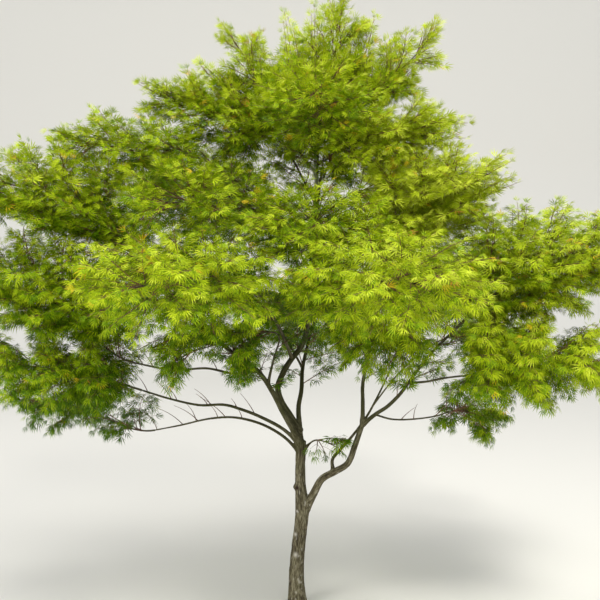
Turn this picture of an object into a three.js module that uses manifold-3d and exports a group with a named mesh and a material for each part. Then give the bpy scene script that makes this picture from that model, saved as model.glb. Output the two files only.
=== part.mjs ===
import * as THREE from 'three';
import { mergeVertices } from 'three/addons/utils/BufferGeometryUtils.js';
import Module from 'manifold-3d';

// A young Japanese maple with strap-lobed leaves, rooted in level ground.
// Millimetres and degrees, +Z up, the origin in the middle of the flat cut under the trunk.
// Headings turn from +X (the right of the crown) to +Y (its back); a rise is measured from level.

const wasm = await Module();
wasm.setup();

// Gaps between solids, how far cuts may be tidied, and the facets of a bar
const seatGap = 0.3;
const limbGap = 2;
const slideFree = 0.02;
const trunkSides = 14;
const mainSides = 8;
const boughSides = 5;
const mainRoot = 10.6;
const stepLength = 125;
const fewestSteps = 5;

// The trunk: radii of its foot and its top, how far its roots flare and its fork swells, and the
// block below the ground that cuts its foot flat
const trunkFoot = 34;
const trunkTop = 21;
const topReached = 0.8;
const rootFlare = 13;
const flareHeight = 45;
const forkSwell = 4.5;
const forkAt = 0.6;
const forkSpan = 0.09;
const groundBlock = 200;
const belowGround = 20;

// Boughs: how their taper bends, and the shares of a hidden one
const limbTaper = 1.15;
const hiddenRoot = 0.6;
const hiddenTip = 3.5;
const entersAt = 0.72;

// The stem of a mass of leaves, and the space that the mass keeps to
const stemSides = 3;
const stemSteps = 4;
const stemReach = 0.6;
const stemRoot = 6.5;
const stemTip = 5;
const stemLeaves = 0.3;
const stemArrives = 0.45;
const spaceFlatness = 2.1;
const spaceGap = 4;

// Twigs: where their tips lie in the mass, and how they set off and bend
const goldenTurn = Math.PI * (3 - Math.sqrt(5));
const firstReach = -0.6;
const lastReach = 0.99;
const girthReach = 0.86;
const branchCosine = 0.62;
const branchPlaces = 16;
const firstPlace = 2;
const twigRoot = 2.6;
const twigTip = 3.8;
const twigForward = 0.22;
const elbowAt = 0.3;
const clearFrom = 0.3;
const trims = [1, 0.8, 0.6];

// Sprays of leaves: shares of their own length, and of the twig that carries them
const endSprayWide = 1.05;
const sideSprays = [
  { from: 0.55, side: 1, turn: 66, long: 0.95, wide: 0.95 },
  { from: 0.9, side: -1, turn: 66, long: 0.9, wide: 0.95 },
];
const sprayClear = 0.34;
const sprayThick = 0.26;
const sprayBelly = 0.4;
const sprayRoot = 1.2;
const sprayDroop = 0.3;
const sprayRoll = 50;
const rollPlace = 100;

// Limbs that show. A course is a list of steps: heading, rise, length. "from" and "at" say where on
// an earlier limb it starts, and the radii are those of its root and its tip.
const limbs = {
  trunk: {
    course: [[180, 88, 135], [0, 86, 125], [0, 84, 140], [144, 86, 130], [60, 88, 165]],
    radii: [trunkFoot, trunkTop],
  },
  bough_centre: {
    from: 'trunk', at: 0.96,
    course: [[112, 81, 80], [112, 80, 80], [68, 65, 75], [86, 51, 95], [78, 42, 140], [76, 36, 150]],
    radii: [12, 6],
  },
  leader: {
    from: 'bough_centre', at: 0.1,
    course: [[-161, 60, 80], [-151, 56, 75], [-144, 72, 60], [0, 70, 70], [17, 57, 60], [13, 52, 70],
      [17, 75, 135], [0, 85, 205], [0, 88, 240], [180, 89, 170]],
    radii: [13, 9],
  },
  bough_left_upright: {
    from: 'trunk', at: 0.97,
    course: [[-141, 59, 95], [-140, 56, 85], [-140, 59, 90], [-147, 53, 120], [-153, 36, 135],
      [-164, 41, 185], [-172, 47, 170]],
    radii: [13, 6],
  },
  bough_left_upper: {
    from: 'trunk', at: 0.96,
    course: [[-160, 47, 100], [-158, 31, 115], [-161, 24, 100], [-163, 17, 70], [-168, 1, 95],
      [-175, 13, 125], [-176, 18, 110]],
    radii: [8.5, 4.5],
  },
  bough_left_lower: {
    from: 'trunk', at: 0.92,
    course: [[178, 46, 95], [162, 26, 110], [161, 10, 120], [159, -6, 115], [159, -15, 145], [165, -13, 120]],
    radii: [7.5, 4],
  },
  bough_right: {
    from: 'trunk', at: 0.57,
    course: [[-15, 60, 95], [-25, 60, 75], [-16, 32, 65], [-16, 35, 65], [-20, 68, 75], [-23, 71, 120]],
    radii: [18, 10.5],
  },
  bough_right_upright: {
    from: 'bough_right', at: 0.97,
    course: [[180, 90, 85], [88, 81, 70], [57, 68, 130], [68, 61, 155], [72, 72, 120]],
    radii: [9, 5.5],
  },
  bough_right_outer: {
    from: 'bough_right', at: 0.95,
    course: [[-25, 40, 75], [-34, 34, 65], [-34, 44, 75], [-46, 49, 85], [-40, 50, 145], [-30, 45, 120]],
    radii: [9, 5.5],
  },
  bough_right_back: {
    from: 'bough_right', at: 0.46,
    course: [[93, 40, 65], [50, 32, 60], [40, 36, 95], [46, 38, 105], [59, 35, 115], [60, 38, 130]],
    radii: [8, 4.5],
  },
  bough_right_low: {
    from: 'bough_right_outer', at: 0.13,
    course: [[43, -18, 95], [45, -8, 130], [38, -1, 145], [46, 4, 90]],
    radii: [4, 3],
  },
  bough_left_middle: {
    from: 'bough_left_upright', at: 0.44,
    course: [[168, -8, 90], [176, 10, 120], [-172, -2, 130], [-168, 12, 150]],
    radii: [5.5, 3.5],
  },
  bough_right_front: {
    from: 'bough_right_outer', at: 0.5,
    course: [[-30, 8, 75], [-28, 14, 80], [-24, 10, 80]],
    radii: [5, 3.5],
  },
};

// Boughs that the leaves hide: from a limb to the mass of leaves that they carry, with an arch of
// "lift" times their length
const hiddenBoughs = {
  bough_top_left: { from: 'leader', at: 0.95, to: 'leaves_top_left', lift: 0 },
  bough_top_right: { from: 'leader', at: 0.89, to: 'leaves_top_right', lift: 0.02 },
  bough_top_back: { from: 'leader', at: 0.8, to: 'leaves_top_back', lift: 0.05 },
  bough_top_front: { from: 'leader', at: 0.91, to: 'leaves_top_front', lift: 0.05 },
  bough_high_left: { from: 'leader', at: 0.84, to: 'leaves_high_left', lift: 0.02 },
  bough_high_right: { from: 'leader', at: 0.8, to: 'leaves_high_right', lift: 0.04 },
  bough_high_far_left: { from: 'leader', at: 0.68, to: 'leaves_high_far_left', lift: 0.05 },
  bough_inner_left: { from: 'leader', at: 0.6, to: 'leaves_inner_left', lift: 0.08 },
  bough_front_centre: { from: 'leader', at: 0.54, to: 'leaves_front_centre', lift: 0.1 },
  bough_upper_back_left: { from: 'leader', at: 0.52, to: 'leaves_upper_back_left', lift: 0.1 },
  bough_upper_back_right: {
    from: 'bough_right_upright', at: 0.55, to: 'leaves_upper_back_right', lift: 0.08,
  },
  bough_front_left: { from: 'leader', at: 0.3, to: 'leaves_front_left', lift: 0.12 },
  bough_front_right: { from: 'leader', at: 0.38, to: 'leaves_front_right', lift: 0.12 },
  bough_back_left: { from: 'bough_centre', at: 0.55, to: 'leaves_back_left', lift: 0.12 },
  bough_back_right: { from: 'bough_right_back', at: 0.66, to: 'leaves_low_back_right', lift: 0.08 },
  bough_inner_right: { from: 'bough_right_upright', at: 0.3, to: 'leaves_inner_right', lift: 0.1 },
  bough_inner_low_left: {
    from: 'bough_left_upright', at: 0.36, to: 'leaves_inner_low_left', lift: 0.06,
  },
  bough_fork: { from: 'trunk', at: 0.93, to: 'leaves_fork', lift: 0.02 },
};

// Masses of leaves: the bough that carries each (a shown limb's tip, or one of the hidden boughs),
// its middle, its half sizes along, across and up, the heading and rise of its stem, and its twigs
const masses = {
  leaves_top: {
    bough: 'leader', middle: [140, -10, 2150],
    half: [305, 200, 175], heading: 0, rise: 82, twigs: 9,
  },
  leaves_top_left: {
    bough: 'bough_top_left', middle: [-142, -40, 2090],
    half: [285, 180, 130], heading: 184, rise: 61, twigs: 7,
  },
  leaves_top_right: {
    bough: 'bough_top_right', middle: [352, -60, 2100],
    half: [320, 180, 145], heading: -4, rise: 46, twigs: 8,
  },
  leaves_top_back: {
    bough: 'bough_top_back', middle: [80, 370, 1980],
    half: [320, 300, 220], heading: 92, rise: 30, twigs: 5,
  },
  leaves_top_front: {
    bough: 'bough_top_front', middle: [70, -340, 1980],
    half: [270, 280, 165], heading: -95, rise: 14, twigs: 6,
  },
  leaves_high_left: {
    bough: 'bough_high_left', middle: [-290, -90, 1960],
    half: [350, 260, 165], heading: 186, rise: 20, twigs: 9,
  },
  leaves_high_right: {
    bough: 'bough_high_right', middle: [325, -170, 1870],
    half: [325, 280, 165], heading: -10, rise: 14, twigs: 8,
  },
  leaves_high_far_left: {
    bough: 'bough_high_far_left', middle: [-590, -220, 1830],
    half: [350, 300, 160], heading: 196, rise: 8, twigs: 8,
  },
  leaves_upper_left: {
    bough: 'bough_left_upright', middle: [-850, -270, 1680],
    half: [460, 370, 200], heading: 188, rise: 6, twigs: 12,
  },
  leaves_inner_left: {
    bough: 'bough_inner_left', middle: [-340, -410, 1620],
    half: [370, 320, 185], heading: 225, rise: 4, twigs: 7,
  },
  leaves_front_centre: {
    bough: 'bough_front_centre', middle: [60, -540, 1550],
    half: [310, 330, 180], heading: -92, rise: 2, twigs: 6,
  },
  leaves_upper_right: {
    bough: 'bough_right_upright', middle: [455, -200, 1680],
    half: [375, 350, 205], heading: -14, rise: 8, twigs: 10,
  },
  leaves_upper_back_left: {
    bough: 'bough_upper_back_left', middle: [-420, 450, 1690],
    half: [470, 380, 240], heading: 138, rise: 8, twigs: 7,
  },
  leaves_upper_back_right: {
    bough: 'bough_upper_back_right', middle: [480, 480, 1680],
    half: [440, 380, 240], heading: 42, rise: 8, twigs: 6,
  },
  leaves_front_left: {
    bough: 'bough_front_left', middle: [-380, -770, 1360],
    half: [430, 410, 210], heading: -118, rise: 0, twigs: 9,
  },
  leaves_front_right: {
    bough: 'bough_front_right', middle: [280, -800, 1370],
    half: [430, 400, 215], heading: -66, rise: 0, twigs: 10,
  },
  leaves_right: {
    bough: 'bough_right_outer', middle: [860, -280, 1420],
    half: [490, 390, 250], heading: -6, rise: 3, twigs: 13,
  },
  leaves_left: {
    bough: 'bough_left_middle', middle: [-870, -270, 1345],
    half: [460, 380, 235], heading: 188, rise: 2, twigs: 11,
  },
  leaves_back_left: {
    bough: 'bough_back_left', middle: [-540, 720, 1330],
    half: [490, 400, 240], heading: 128, rise: 4, twigs: 6,
  },
  leaves_back_right: {
    bough: 'bough_right_back', middle: [620, 760, 1330],
    half: [460, 390, 240], heading: 52, rise: 8, twigs: 7,
  },
  leaves_low_left: {
    bough: 'bough_left_upper', middle: [-880, -190, 1000],
    half: [440, 330, 185], heading: 182, rise: 2, twigs: 10,
  },
  leaves_low_back_left: {
    bough: 'bough_left_lower', middle: [-870, 260, 785],
    half: [370, 300, 145], heading: 170, rise: -4, twigs: 5,
  },
  leaves_low_right: {
    bough: 'bough_right_front', middle: [790, -400, 1070],
    half: [420, 340, 210], heading: -22, rise: -4, twigs: 9,
  },
  leaves_low_hanging: {
    bough: 'bough_right_low', middle: [740, 320, 740],
    half: [210, 180, 155], heading: 20, rise: -16, twigs: 4,
  },
  leaves_low_back: {
    bough: 'bough_centre', middle: [60, 830, 1080],
    half: [440, 460, 230], heading: 88, rise: 0, twigs: 7,
  },
  leaves_low_back_right: {
    bough: 'bough_back_right', middle: [860, 560, 1040],
    half: [350, 320, 190], heading: 30, rise: 0, twigs: 5,
  },
  leaves_inner_right: {
    bough: 'bough_inner_right', middle: [330, -330, 1110],
    half: [270, 260, 150], heading: -75, rise: 0, twigs: 5,
  },
  leaves_inner_low_left: {
    bough: 'bough_inner_low_left', middle: [-290, -220, 1075],
    half: [330, 250, 165], heading: 205, rise: -2, twigs: 5,
  },
  leaves_fork: {
    bough: 'bough_fork', middle: [112, -50, 672],
    half: [105, 90, 62], heading: -40, rise: 4, twigs: 2,
  },
};
Object.values(masses).forEach((mass, order) => { mass.seed = order + 1; });

const vector = (x, y, z) => new THREE.Vector3(x, y, z);
const skyward = vector(0, 0, 1);
const radians = THREE.MathUtils.degToRad;

function directionOf(heading, rise) {
  const turn = radians(heading);
  const climb = radians(rise);
  return vector(Math.cos(turn) * Math.cos(climb), Math.sin(turn) * Math.cos(climb), Math.sin(climb));
}

// A seeded number from 0 to 1, the same for the same seed and place
function chance(seed, place) {
  const wave = Math.sin(seed * 12.9898 + place * 78.233) * 43758.5453;
  return wave - Math.floor(wave);
}

// Solids from geometries, and back
function solidOf(geometry) {
  geometry.deleteAttribute('normal');
  geometry.deleteAttribute('uv');
  const merged = mergeVertices(geometry, 1e-5);
  return new wasm.Manifold(new wasm.Mesh({
    numProp: 3,
    vertProperties: new Float32Array(merged.attributes.position.array),
    triVerts: new Uint32Array(merged.index.array),
  }));
}

function geometryOf(solid) {
  const mesh = solid.getMesh();
  const geometry = new THREE.BufferGeometry();
  geometry.setAttribute('position', new THREE.BufferAttribute(new Float32Array(mesh.vertProperties), 3));
  geometry.setIndex(new THREE.BufferAttribute(new Uint32Array(mesh.triVerts), 1));
  geometry.computeVertexNormals();
  return geometry;
}

// Cutting and joining can leave a loose scrap, which is dropped
function largestBody(solid) {
  const bodies = solid.simplify(slideFree).decompose();
  return bodies.sort((a, b) => b.volume() - a.volume())[0];
}

// A round bar bent along a curve, with its own radius at each step, that may run on past the tip
function taperedBar(curve, steps, sides, radiusAt, pastTip = 0) {
  const bar = new THREE.CylinderGeometry(1, 1, 1, sides, steps);
  const frames = curve.computeFrenetFrames(steps, false);
  const corners = bar.attributes.position;
  for (let i = 0; i < corners.count; i += 1) {
    const step = Math.round((corners.getY(i) + 0.5) * steps);
    const radius = radiusAt(step / steps);
    const place = curve.getPointAt(step / steps)
      .addScaledVector(frames.binormals[step], corners.getX(i) * radius)
      .addScaledVector(frames.normals[step], corners.getZ(i) * radius)
      .addScaledVector(frames.tangents[step], step === steps ? pastTip : 0);
    corners.setXYZ(i, place.x, place.y, place.z);
  }
  return solidOf(bar);
}

// The shortest way between two straight stretches, a to b and c to d
function gapBetween(a, b, c, d) {
  const u = b.clone().sub(a);
  const v = d.clone().sub(c);
  const w = a.clone().sub(c);
  const uu = u.dot(u);
  const uv = u.dot(v);
  const vv = v.dot(v);
  const uw = u.dot(w);
  const vw = v.dot(w);
  const spread = uu * vv - uv * uv;
  const clamp = (value) => Math.min(1, Math.max(0, value));
  let s = spread > 1e-6 ? clamp((uv * vw - vv * uw) / spread) : 0;
  const t = clamp((uv * s + vw) / vv);
  s = clamp((uv * t - uw) / uu);
  return w.addScaledVector(u, s).addScaledVector(v, -t).length();
}

// Limbs

function courseCurve(start, course) {
  const points = [start.clone()];
  for (const [heading, rise, length] of course) {
    points.push(points.at(-1).clone().addScaledVector(directionOf(heading, rise), length));
  }
  return new THREE.CatmullRomCurve3(points, false, 'centripetal');
}

// Half sizes point along the stem, across it and up
function axesOf(mass) {
  const along = directionOf(mass.heading, mass.rise);
  const across = directionOf(mass.heading + 90, 0);
  return { along, across, up: along.clone().cross(across) };
}

// A hidden bough ends where it enters its mass of leaves
function archCurve(start, bough) {
  const mass = masses[bough.to];
  const end = vector(...mass.middle).addScaledVector(axesOf(mass).along, -entersAt * mass.half[0]);
  const control = start.clone().lerp(end, 0.5);
  control.z += bough.lift * start.distanceTo(end) * 2;
  return new THREE.QuadraticBezierCurve3(start, control, end);
}

function trunkRadius(t, length) {
  const flare = rootFlare * Math.exp(-t * length / flareHeight);
  const swell = forkSwell * Math.exp(-(((t - forkAt) / forkSpan) ** 2));
  return trunkFoot + (trunkTop - trunkFoot) * Math.min(1, t / topReached) + flare + swell;
}

function limbRadius(limb, t) {
  const [root, tip] = limb.radii;
  return tip + (root - tip) * (1 - t) ** limbTaper;
}

function layOutLimbs() {
  const laid = {};
  for (const [name, limb] of Object.entries({ ...limbs, ...hiddenBoughs })) {
    const start = limb.from ? laid[limb.from].curve.getPointAt(limb.at) : vector(0, 0, -belowGround);
    const curve = limb.course ? courseCurve(start, limb.course) : archCurve(start, limb);
    const length = curve.getLength();
    const radii = limb.radii ?? [laid[limb.from].radiusAt(limb.at) * hiddenRoot, hiddenTip];
    const radiusAt = name === 'trunk' ? (t) => trunkRadius(t, length) : (t) => limbRadius({ radii }, t);
    const steps = Math.max(fewestSteps, Math.round(length / stepLength));
    const points = curve.getSpacedPoints(steps);
    laid[name] = { name, curve, length, radiusAt, steps, points };
  }
  return laid;
}

function limbSolid(limb, grow) {
  const thick = limb.radiusAt(0) > mainRoot ? mainSides : boughSides;
  const sides = limb.name === 'trunk' ? trunkSides : thick;
  return taperedBar(limb.curve, limb.steps, sides, (t) => limb.radiusAt(t) + grow, grow);
}

// Everything below the level ground, which cuts the trunk's foot flat
function belowGroundSolid() {
  const block = new THREE.BoxGeometry(groundBlock, groundBlock, groundBlock);
  block.translate(0, 0, -groundBlock / 2);
  return solidOf(block);
}

// Masses of leaves

// The stem goes on from the bough's tip and runs through the middle of its mass
function layOutStems(laid) {
  const stems = {};
  for (const [name, mass] of Object.entries(masses)) {
    const bough = laid[mass.bough];
    const tip = bough.curve.getPointAt(1);
    const ahead = bough.curve.getTangentAt(1);
    const { along } = axesOf(mass);
    const start = tip.clone().addScaledVector(ahead, seatGap);
    const end = vector(...mass.middle).addScaledVector(along, stemReach * mass.half[0]);
    const length = start.distanceTo(end);
    const curve = new THREE.CubicBezierCurve3(
      start,
      start.clone().addScaledVector(ahead, stemLeaves * length),
      end.clone().addScaledVector(along, -stemArrives * length),
      end,
    );
    const radiusAt = (t) => stemRoot + (stemTip - stemRoot) * t;
    stems[name] = { curve, points: curve.getSpacedPoints(stemSteps), radiusAt };
  }
  return stems;
}

// How far a place is from a mass's middle, less the mass's own size: the boundary with a neighbour
// lies where the two are equal, so each space has flat sides and none overlaps another
function claim(mass, place) {
  const [x, y, z] = mass.middle;
  const size = (mass.half[0] + mass.half[1]) / 2;
  return (place.x - x) ** 2 + (place.y - y) ** 2 + (spaceFlatness * (place.z - z)) ** 2 - size ** 2;
}

function insideSpace(mass, place) {
  const { along, across, up } = axesOf(mass);
  const from = place.clone().sub(vector(...mass.middle));
  const round = (from.dot(along) / mass.half[0]) ** 2 + (from.dot(across) / mass.half[1]) ** 2
    + (from.dot(up) / mass.half[2]) ** 2;
  if (round > 1) return false;
  const own = claim(mass, place);
  return Object.values(masses).every((other) => {
    if (other === mass) return true;
    const apart = vector(...mass.middle).sub(vector(...other.middle));
    apart.z *= spaceFlatness;
    return own + spaceGap * apart.length() < claim(other, place);
  });
}

function clearOfLimbs(name, a, b, halfWidth, laid, stems) {
  const blocked = (limb) => limb.points.slice(1).some((point, i) => {
    const radius = limb.radiusAt(i / (limb.points.length - 1));
    return gapBetween(a, b, limb.points[i], point) < radius + halfWidth + limbGap;
  });
  if (Object.values(laid).some(blocked)) return false;
  return !Object.entries(stems).some(([owner, stem]) => owner !== name && blocked(stem));
}

// A frame for a flat blade: ahead, to its side, and out of its face
function bladeAxes(root, tip, level) {
  const ahead = tip.clone().sub(root).normalize();
  const side = level.clone().cross(ahead);
  if (side.length() < 0.1) side.set(0, 1, 0);
  side.addScaledVector(ahead, -side.dot(ahead)).normalize();
  return { ahead, side, face: ahead.clone().cross(side) };
}

// A three-sided bar through rings that ends in a point, flat underneath with its ridge on top
function pointedBar(rings, { side, face }) {
  const bar = new THREE.ConeGeometry(1, 1, 3, rings.length - 1);
  const corners = bar.attributes.position;
  for (let i = 0; i < corners.count; i += 1) {
    const ring = rings[Math.round((corners.getY(i) + 0.5) * (rings.length - 1))];
    const from = Math.hypot(corners.getX(i), corners.getZ(i)) || 1;
    const place = ring.place.clone()
      .addScaledVector(side, -corners.getX(i) / from * ring.wide)
      .addScaledVector(face, corners.getZ(i) / from * ring.thick);
    corners.setXYZ(i, place.x, place.y, place.z);
  }
  return bar;
}

// The belly and the point of a blade that stands for a spray of leaves
function bladeRings(from, tip, wide) {
  const length = from.distanceTo(tip);
  return [
    { place: from.clone().lerp(tip, sprayBelly), wide: wide * length / 2, thick: sprayThick * length / 2 },
    { place: tip, wide: 0, thick: 0 },
  ];
}

function sprayBlade(root, tip, level, wide) {
  const rings = [{ place: root, wide: sprayRoot, thick: sprayRoot }, ...bladeRings(root, tip, wide)];
  return pointedBar(rings, bladeAxes(root, tip, level));
}

// A twig that carries its end spray: from the stem to the elbow, then widening into the blade
function endShoot(root, elbow, tip, level) {
  const rings = [
    { place: root, wide: twigRoot, thick: twigRoot },
    { place: elbow, wide: twigTip, thick: twigTip },
    ...bladeRings(elbow, tip, endSprayWide),
  ];
  return pointedBar(rings, bladeAxes(elbow, tip, level));
}

function cornersInside(mass, geometry) {
  const corners = geometry.attributes.position;
  const place = vector(0, 0, 0);
  for (let i = 0; i < corners.count; i += 1) {
    if (!insideSpace(mass, place.fromBufferAttribute(corners, i))) return false;
  }
  return true;
}

// Where on the stem a twig leaves it, so that it sets off at the usual angle for its tip
function branchPlace(stem, tip) {
  let best = { error: Infinity };
  for (let i = firstPlace; i < branchPlaces; i += 1) {
    const root = stem.curve.getPointAt(i / branchPlaces);
    const ahead = stem.curve.getTangentAt(i / branchPlaces);
    const cosine = tip.clone().sub(root).normalize().dot(ahead);
    const error = Math.abs(cosine - branchCosine);
    if (error < best.error) best = { error, root, ahead };
  }
  return best;
}

// Twig number k ends near the skin of its mass, a golden turn round the stem from the last one
function twigCurve(mass, k, stem, trim) {
  const { along, across, up } = axesOf(mass);
  const share = (k + 0.4 + 0.4 * chance(mass.seed, k)) / mass.twigs;
  const reach = firstReach + (lastReach - firstReach) * share;
  const girth = girthReach * Math.sqrt(Math.max(0, 1 - reach * reach));
  const around = k * goldenTurn + mass.seed;
  const end = vector(...mass.middle)
    .addScaledVector(along, mass.half[0] * reach)
    .addScaledVector(across, mass.half[1] * girth * Math.cos(around))
    .addScaledVector(up, mass.half[2] * girth * Math.sin(around));
  const { root, ahead } = branchPlace(stem, end);
  end.lerp(root, 1 - trim);
  const control = root.clone().lerp(end, 0.5).addScaledVector(ahead, twigForward * root.distanceTo(end));
  return new THREE.QuadraticBezierCurve3(root, control, end);
}

// A side spray of a twig, from its straight stretch before the elbow
function sideSpray(side, shoot, level, trim) {
  const { foot, root: elbow } = shoot;
  const length = foot.distanceTo(elbow) + elbow.distanceTo(shoot.tip);
  const ahead = elbow.clone().sub(foot).normalize().applyAxisAngle(level, side.side * radians(side.turn));
  ahead.z -= sprayDroop;
  const root = foot.clone().lerp(elbow, side.from);
  const tip = root.clone().addScaledVector(ahead.normalize(), side.long * length * trim);
  return { root, tip, wide: side.wide };
}

// A spray that would run into one already there is left out
function crossesPlaced(spray, placed) {
  const half = spray.wide * spray.root.distanceTo(spray.tip) / 2;
  return placed.some((other) => {
    const otherHalf = other.wide * other.root.distanceTo(other.tip) / 2;
    return gapBetween(spray.root, spray.tip, other.root, other.tip) < sprayClear * (half + otherHalf);
  });
}

// The longest form of a twig, or of a spray, that keeps to its space and clear of what is there
function firstThatFits(makeForm, fits) {
  return trims.map(makeForm).find(fits);
}

function rolled(level, from, to, turn) {
  return level.clone().applyAxisAngle(to.clone().sub(from).normalize(), radians(turn));
}

// The way that sprays face when they lie flat: out of their mass's layer
function levelOf(mass) {
  const { up } = axesOf(mass);
  return up.z > 0.5 ? up : skyward;
}

function shootForm(mass, k, stem, turn, trim) {
  const curve = twigCurve(mass, k, stem, trim);
  const elbow = curve.getPointAt(elbowAt);
  const tilted = rolled(levelOf(mass), elbow, curve.v2, turn);
  return {
    foot: curve.v0,
    root: elbow,
    tip: curve.v2,
    wide: endSprayWide,
    blade: sprayBlade(elbow, curve.v2, tilted, endSprayWide),
    whole: endShoot(curve.v0, elbow, curve.v2, tilted),
  };
}

function sideForm(mass, side, shoot, turn, trim) {
  const form = sideSpray(side, shoot, levelOf(mass), trim);
  const tilted = rolled(levelOf(mass), form.root, form.tip, -turn * side.side);
  return { ...form, blade: sprayBlade(form.root, form.tip, tilted, form.wide) };
}

function massSolid(name, laid, stems) {
  const stem = stems[name];
  const mass = masses[name];
  const pieces = [taperedBar(stem.curve, stemSteps, stemSides, stem.radiusAt)];
  const placed = [];
  const sprayFits = (spray) => {
    const wide = spray.wide * spray.root.distanceTo(spray.tip) / 2;
    return !crossesPlaced(spray, placed) && cornersInside(mass, spray.blade)
      && clearOfLimbs(name, spray.root, spray.tip, wide, laid, stems);
  };
  const shootFits = (shoot) => {
    const near = shoot.foot.clone().lerp(shoot.root, clearFrom);
    return sprayFits(shoot) && clearOfLimbs(name, near, shoot.root, twigRoot, laid, stems);
  };
  for (let k = 0; k < mass.twigs; k += 1) {
    const turn = sprayRoll * (2 * chance(mass.seed, k + rollPlace) - 1);
    const shoot = firstThatFits((trim) => shootForm(mass, k, stem, turn, trim), shootFits);
    if (!shoot) continue;
    const sides = sideSprays
      .map((side) => firstThatFits((trim) => sideForm(mass, side, shoot, turn, trim), sprayFits))
      .filter(Boolean);
    pieces.push(solidOf(shoot.whole), ...sides.map((spray) => solidOf(spray.blade)));
    placed.push(shoot, ...sides);
  }
  return largestBody(wasm.Manifold.union(pieces));
}

// Finishes
const barkFinish = () => new THREE.MeshStandardMaterial({ color: 0x6a5f4c, roughness: 0.9, metalness: 0 });
const leafFinish = () => new THREE.MeshStandardMaterial({ color: 0x93a81e, roughness: 0.6, metalness: 0 });

function named(name, solid, finish) {
  const mesh = new THREE.Mesh(geometryOf(solid), finish());
  mesh.name = name;
  return mesh;
}

const laidLimbs = layOutLimbs();
const laidStems = layOutStems(laidLimbs);
const tree = new THREE.Group();
const woodBefore = [belowGroundSolid()];
for (const limb of Object.values(laidLimbs)) {
  let solid = limbSolid(limb, 0);
  for (const wood of woodBefore) solid = solid.subtract(wood);
  tree.add(named(limb.name, largestBody(solid), barkFinish));
  woodBefore.push(limbSolid(limb, seatGap));
}
for (const name of Object.keys(masses)) {
  tree.add(named(name, massSolid(name, laidLimbs, laidStems), leafFinish));
}

export default tree;
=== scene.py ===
import bpy
import math
import numpy as np
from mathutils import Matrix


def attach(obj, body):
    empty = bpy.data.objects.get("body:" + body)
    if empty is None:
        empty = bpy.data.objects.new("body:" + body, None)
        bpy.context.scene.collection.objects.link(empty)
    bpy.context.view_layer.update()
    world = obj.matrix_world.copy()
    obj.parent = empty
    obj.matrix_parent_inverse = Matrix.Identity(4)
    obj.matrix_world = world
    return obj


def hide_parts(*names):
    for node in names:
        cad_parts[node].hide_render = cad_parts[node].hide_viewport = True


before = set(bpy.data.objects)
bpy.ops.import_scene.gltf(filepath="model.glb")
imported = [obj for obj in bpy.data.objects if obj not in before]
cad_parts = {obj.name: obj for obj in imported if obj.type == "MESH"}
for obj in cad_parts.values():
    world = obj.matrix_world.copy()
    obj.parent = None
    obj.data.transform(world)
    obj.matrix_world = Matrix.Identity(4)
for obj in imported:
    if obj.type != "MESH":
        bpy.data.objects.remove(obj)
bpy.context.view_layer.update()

# The tree's own frame is the CAD's: +X right, +Y to the back, +Z up, the ground at 0. Limbs and masses
# of leaves are laid out in millimetres, and turned to metres where they become meshes.
mm = 0.001
goldenTurn = math.pi * (3 - math.sqrt(5))
skyward = np.array([0.0, 0.0, 1.0])

# The camera stands at eye height and looks a little down
view = {"eye": (0.010, -4.30, 1.55), "tiltDown": 4.0, "fieldOfView": 31.41, "reaches": 60}
camera = bpy.data.objects.new("camera", bpy.data.cameras.new("camera"))
bpy.context.collection.objects.link(camera)
camera.location = view["eye"]
camera.rotation_euler = (math.radians(90 - view["tiltDown"]), 0, 0)
camera.data.angle = math.radians(view["fieldOfView"])
camera.data.clip_end = view["reaches"]
bpy.context.scene.camera = camera
print("camera set")

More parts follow.
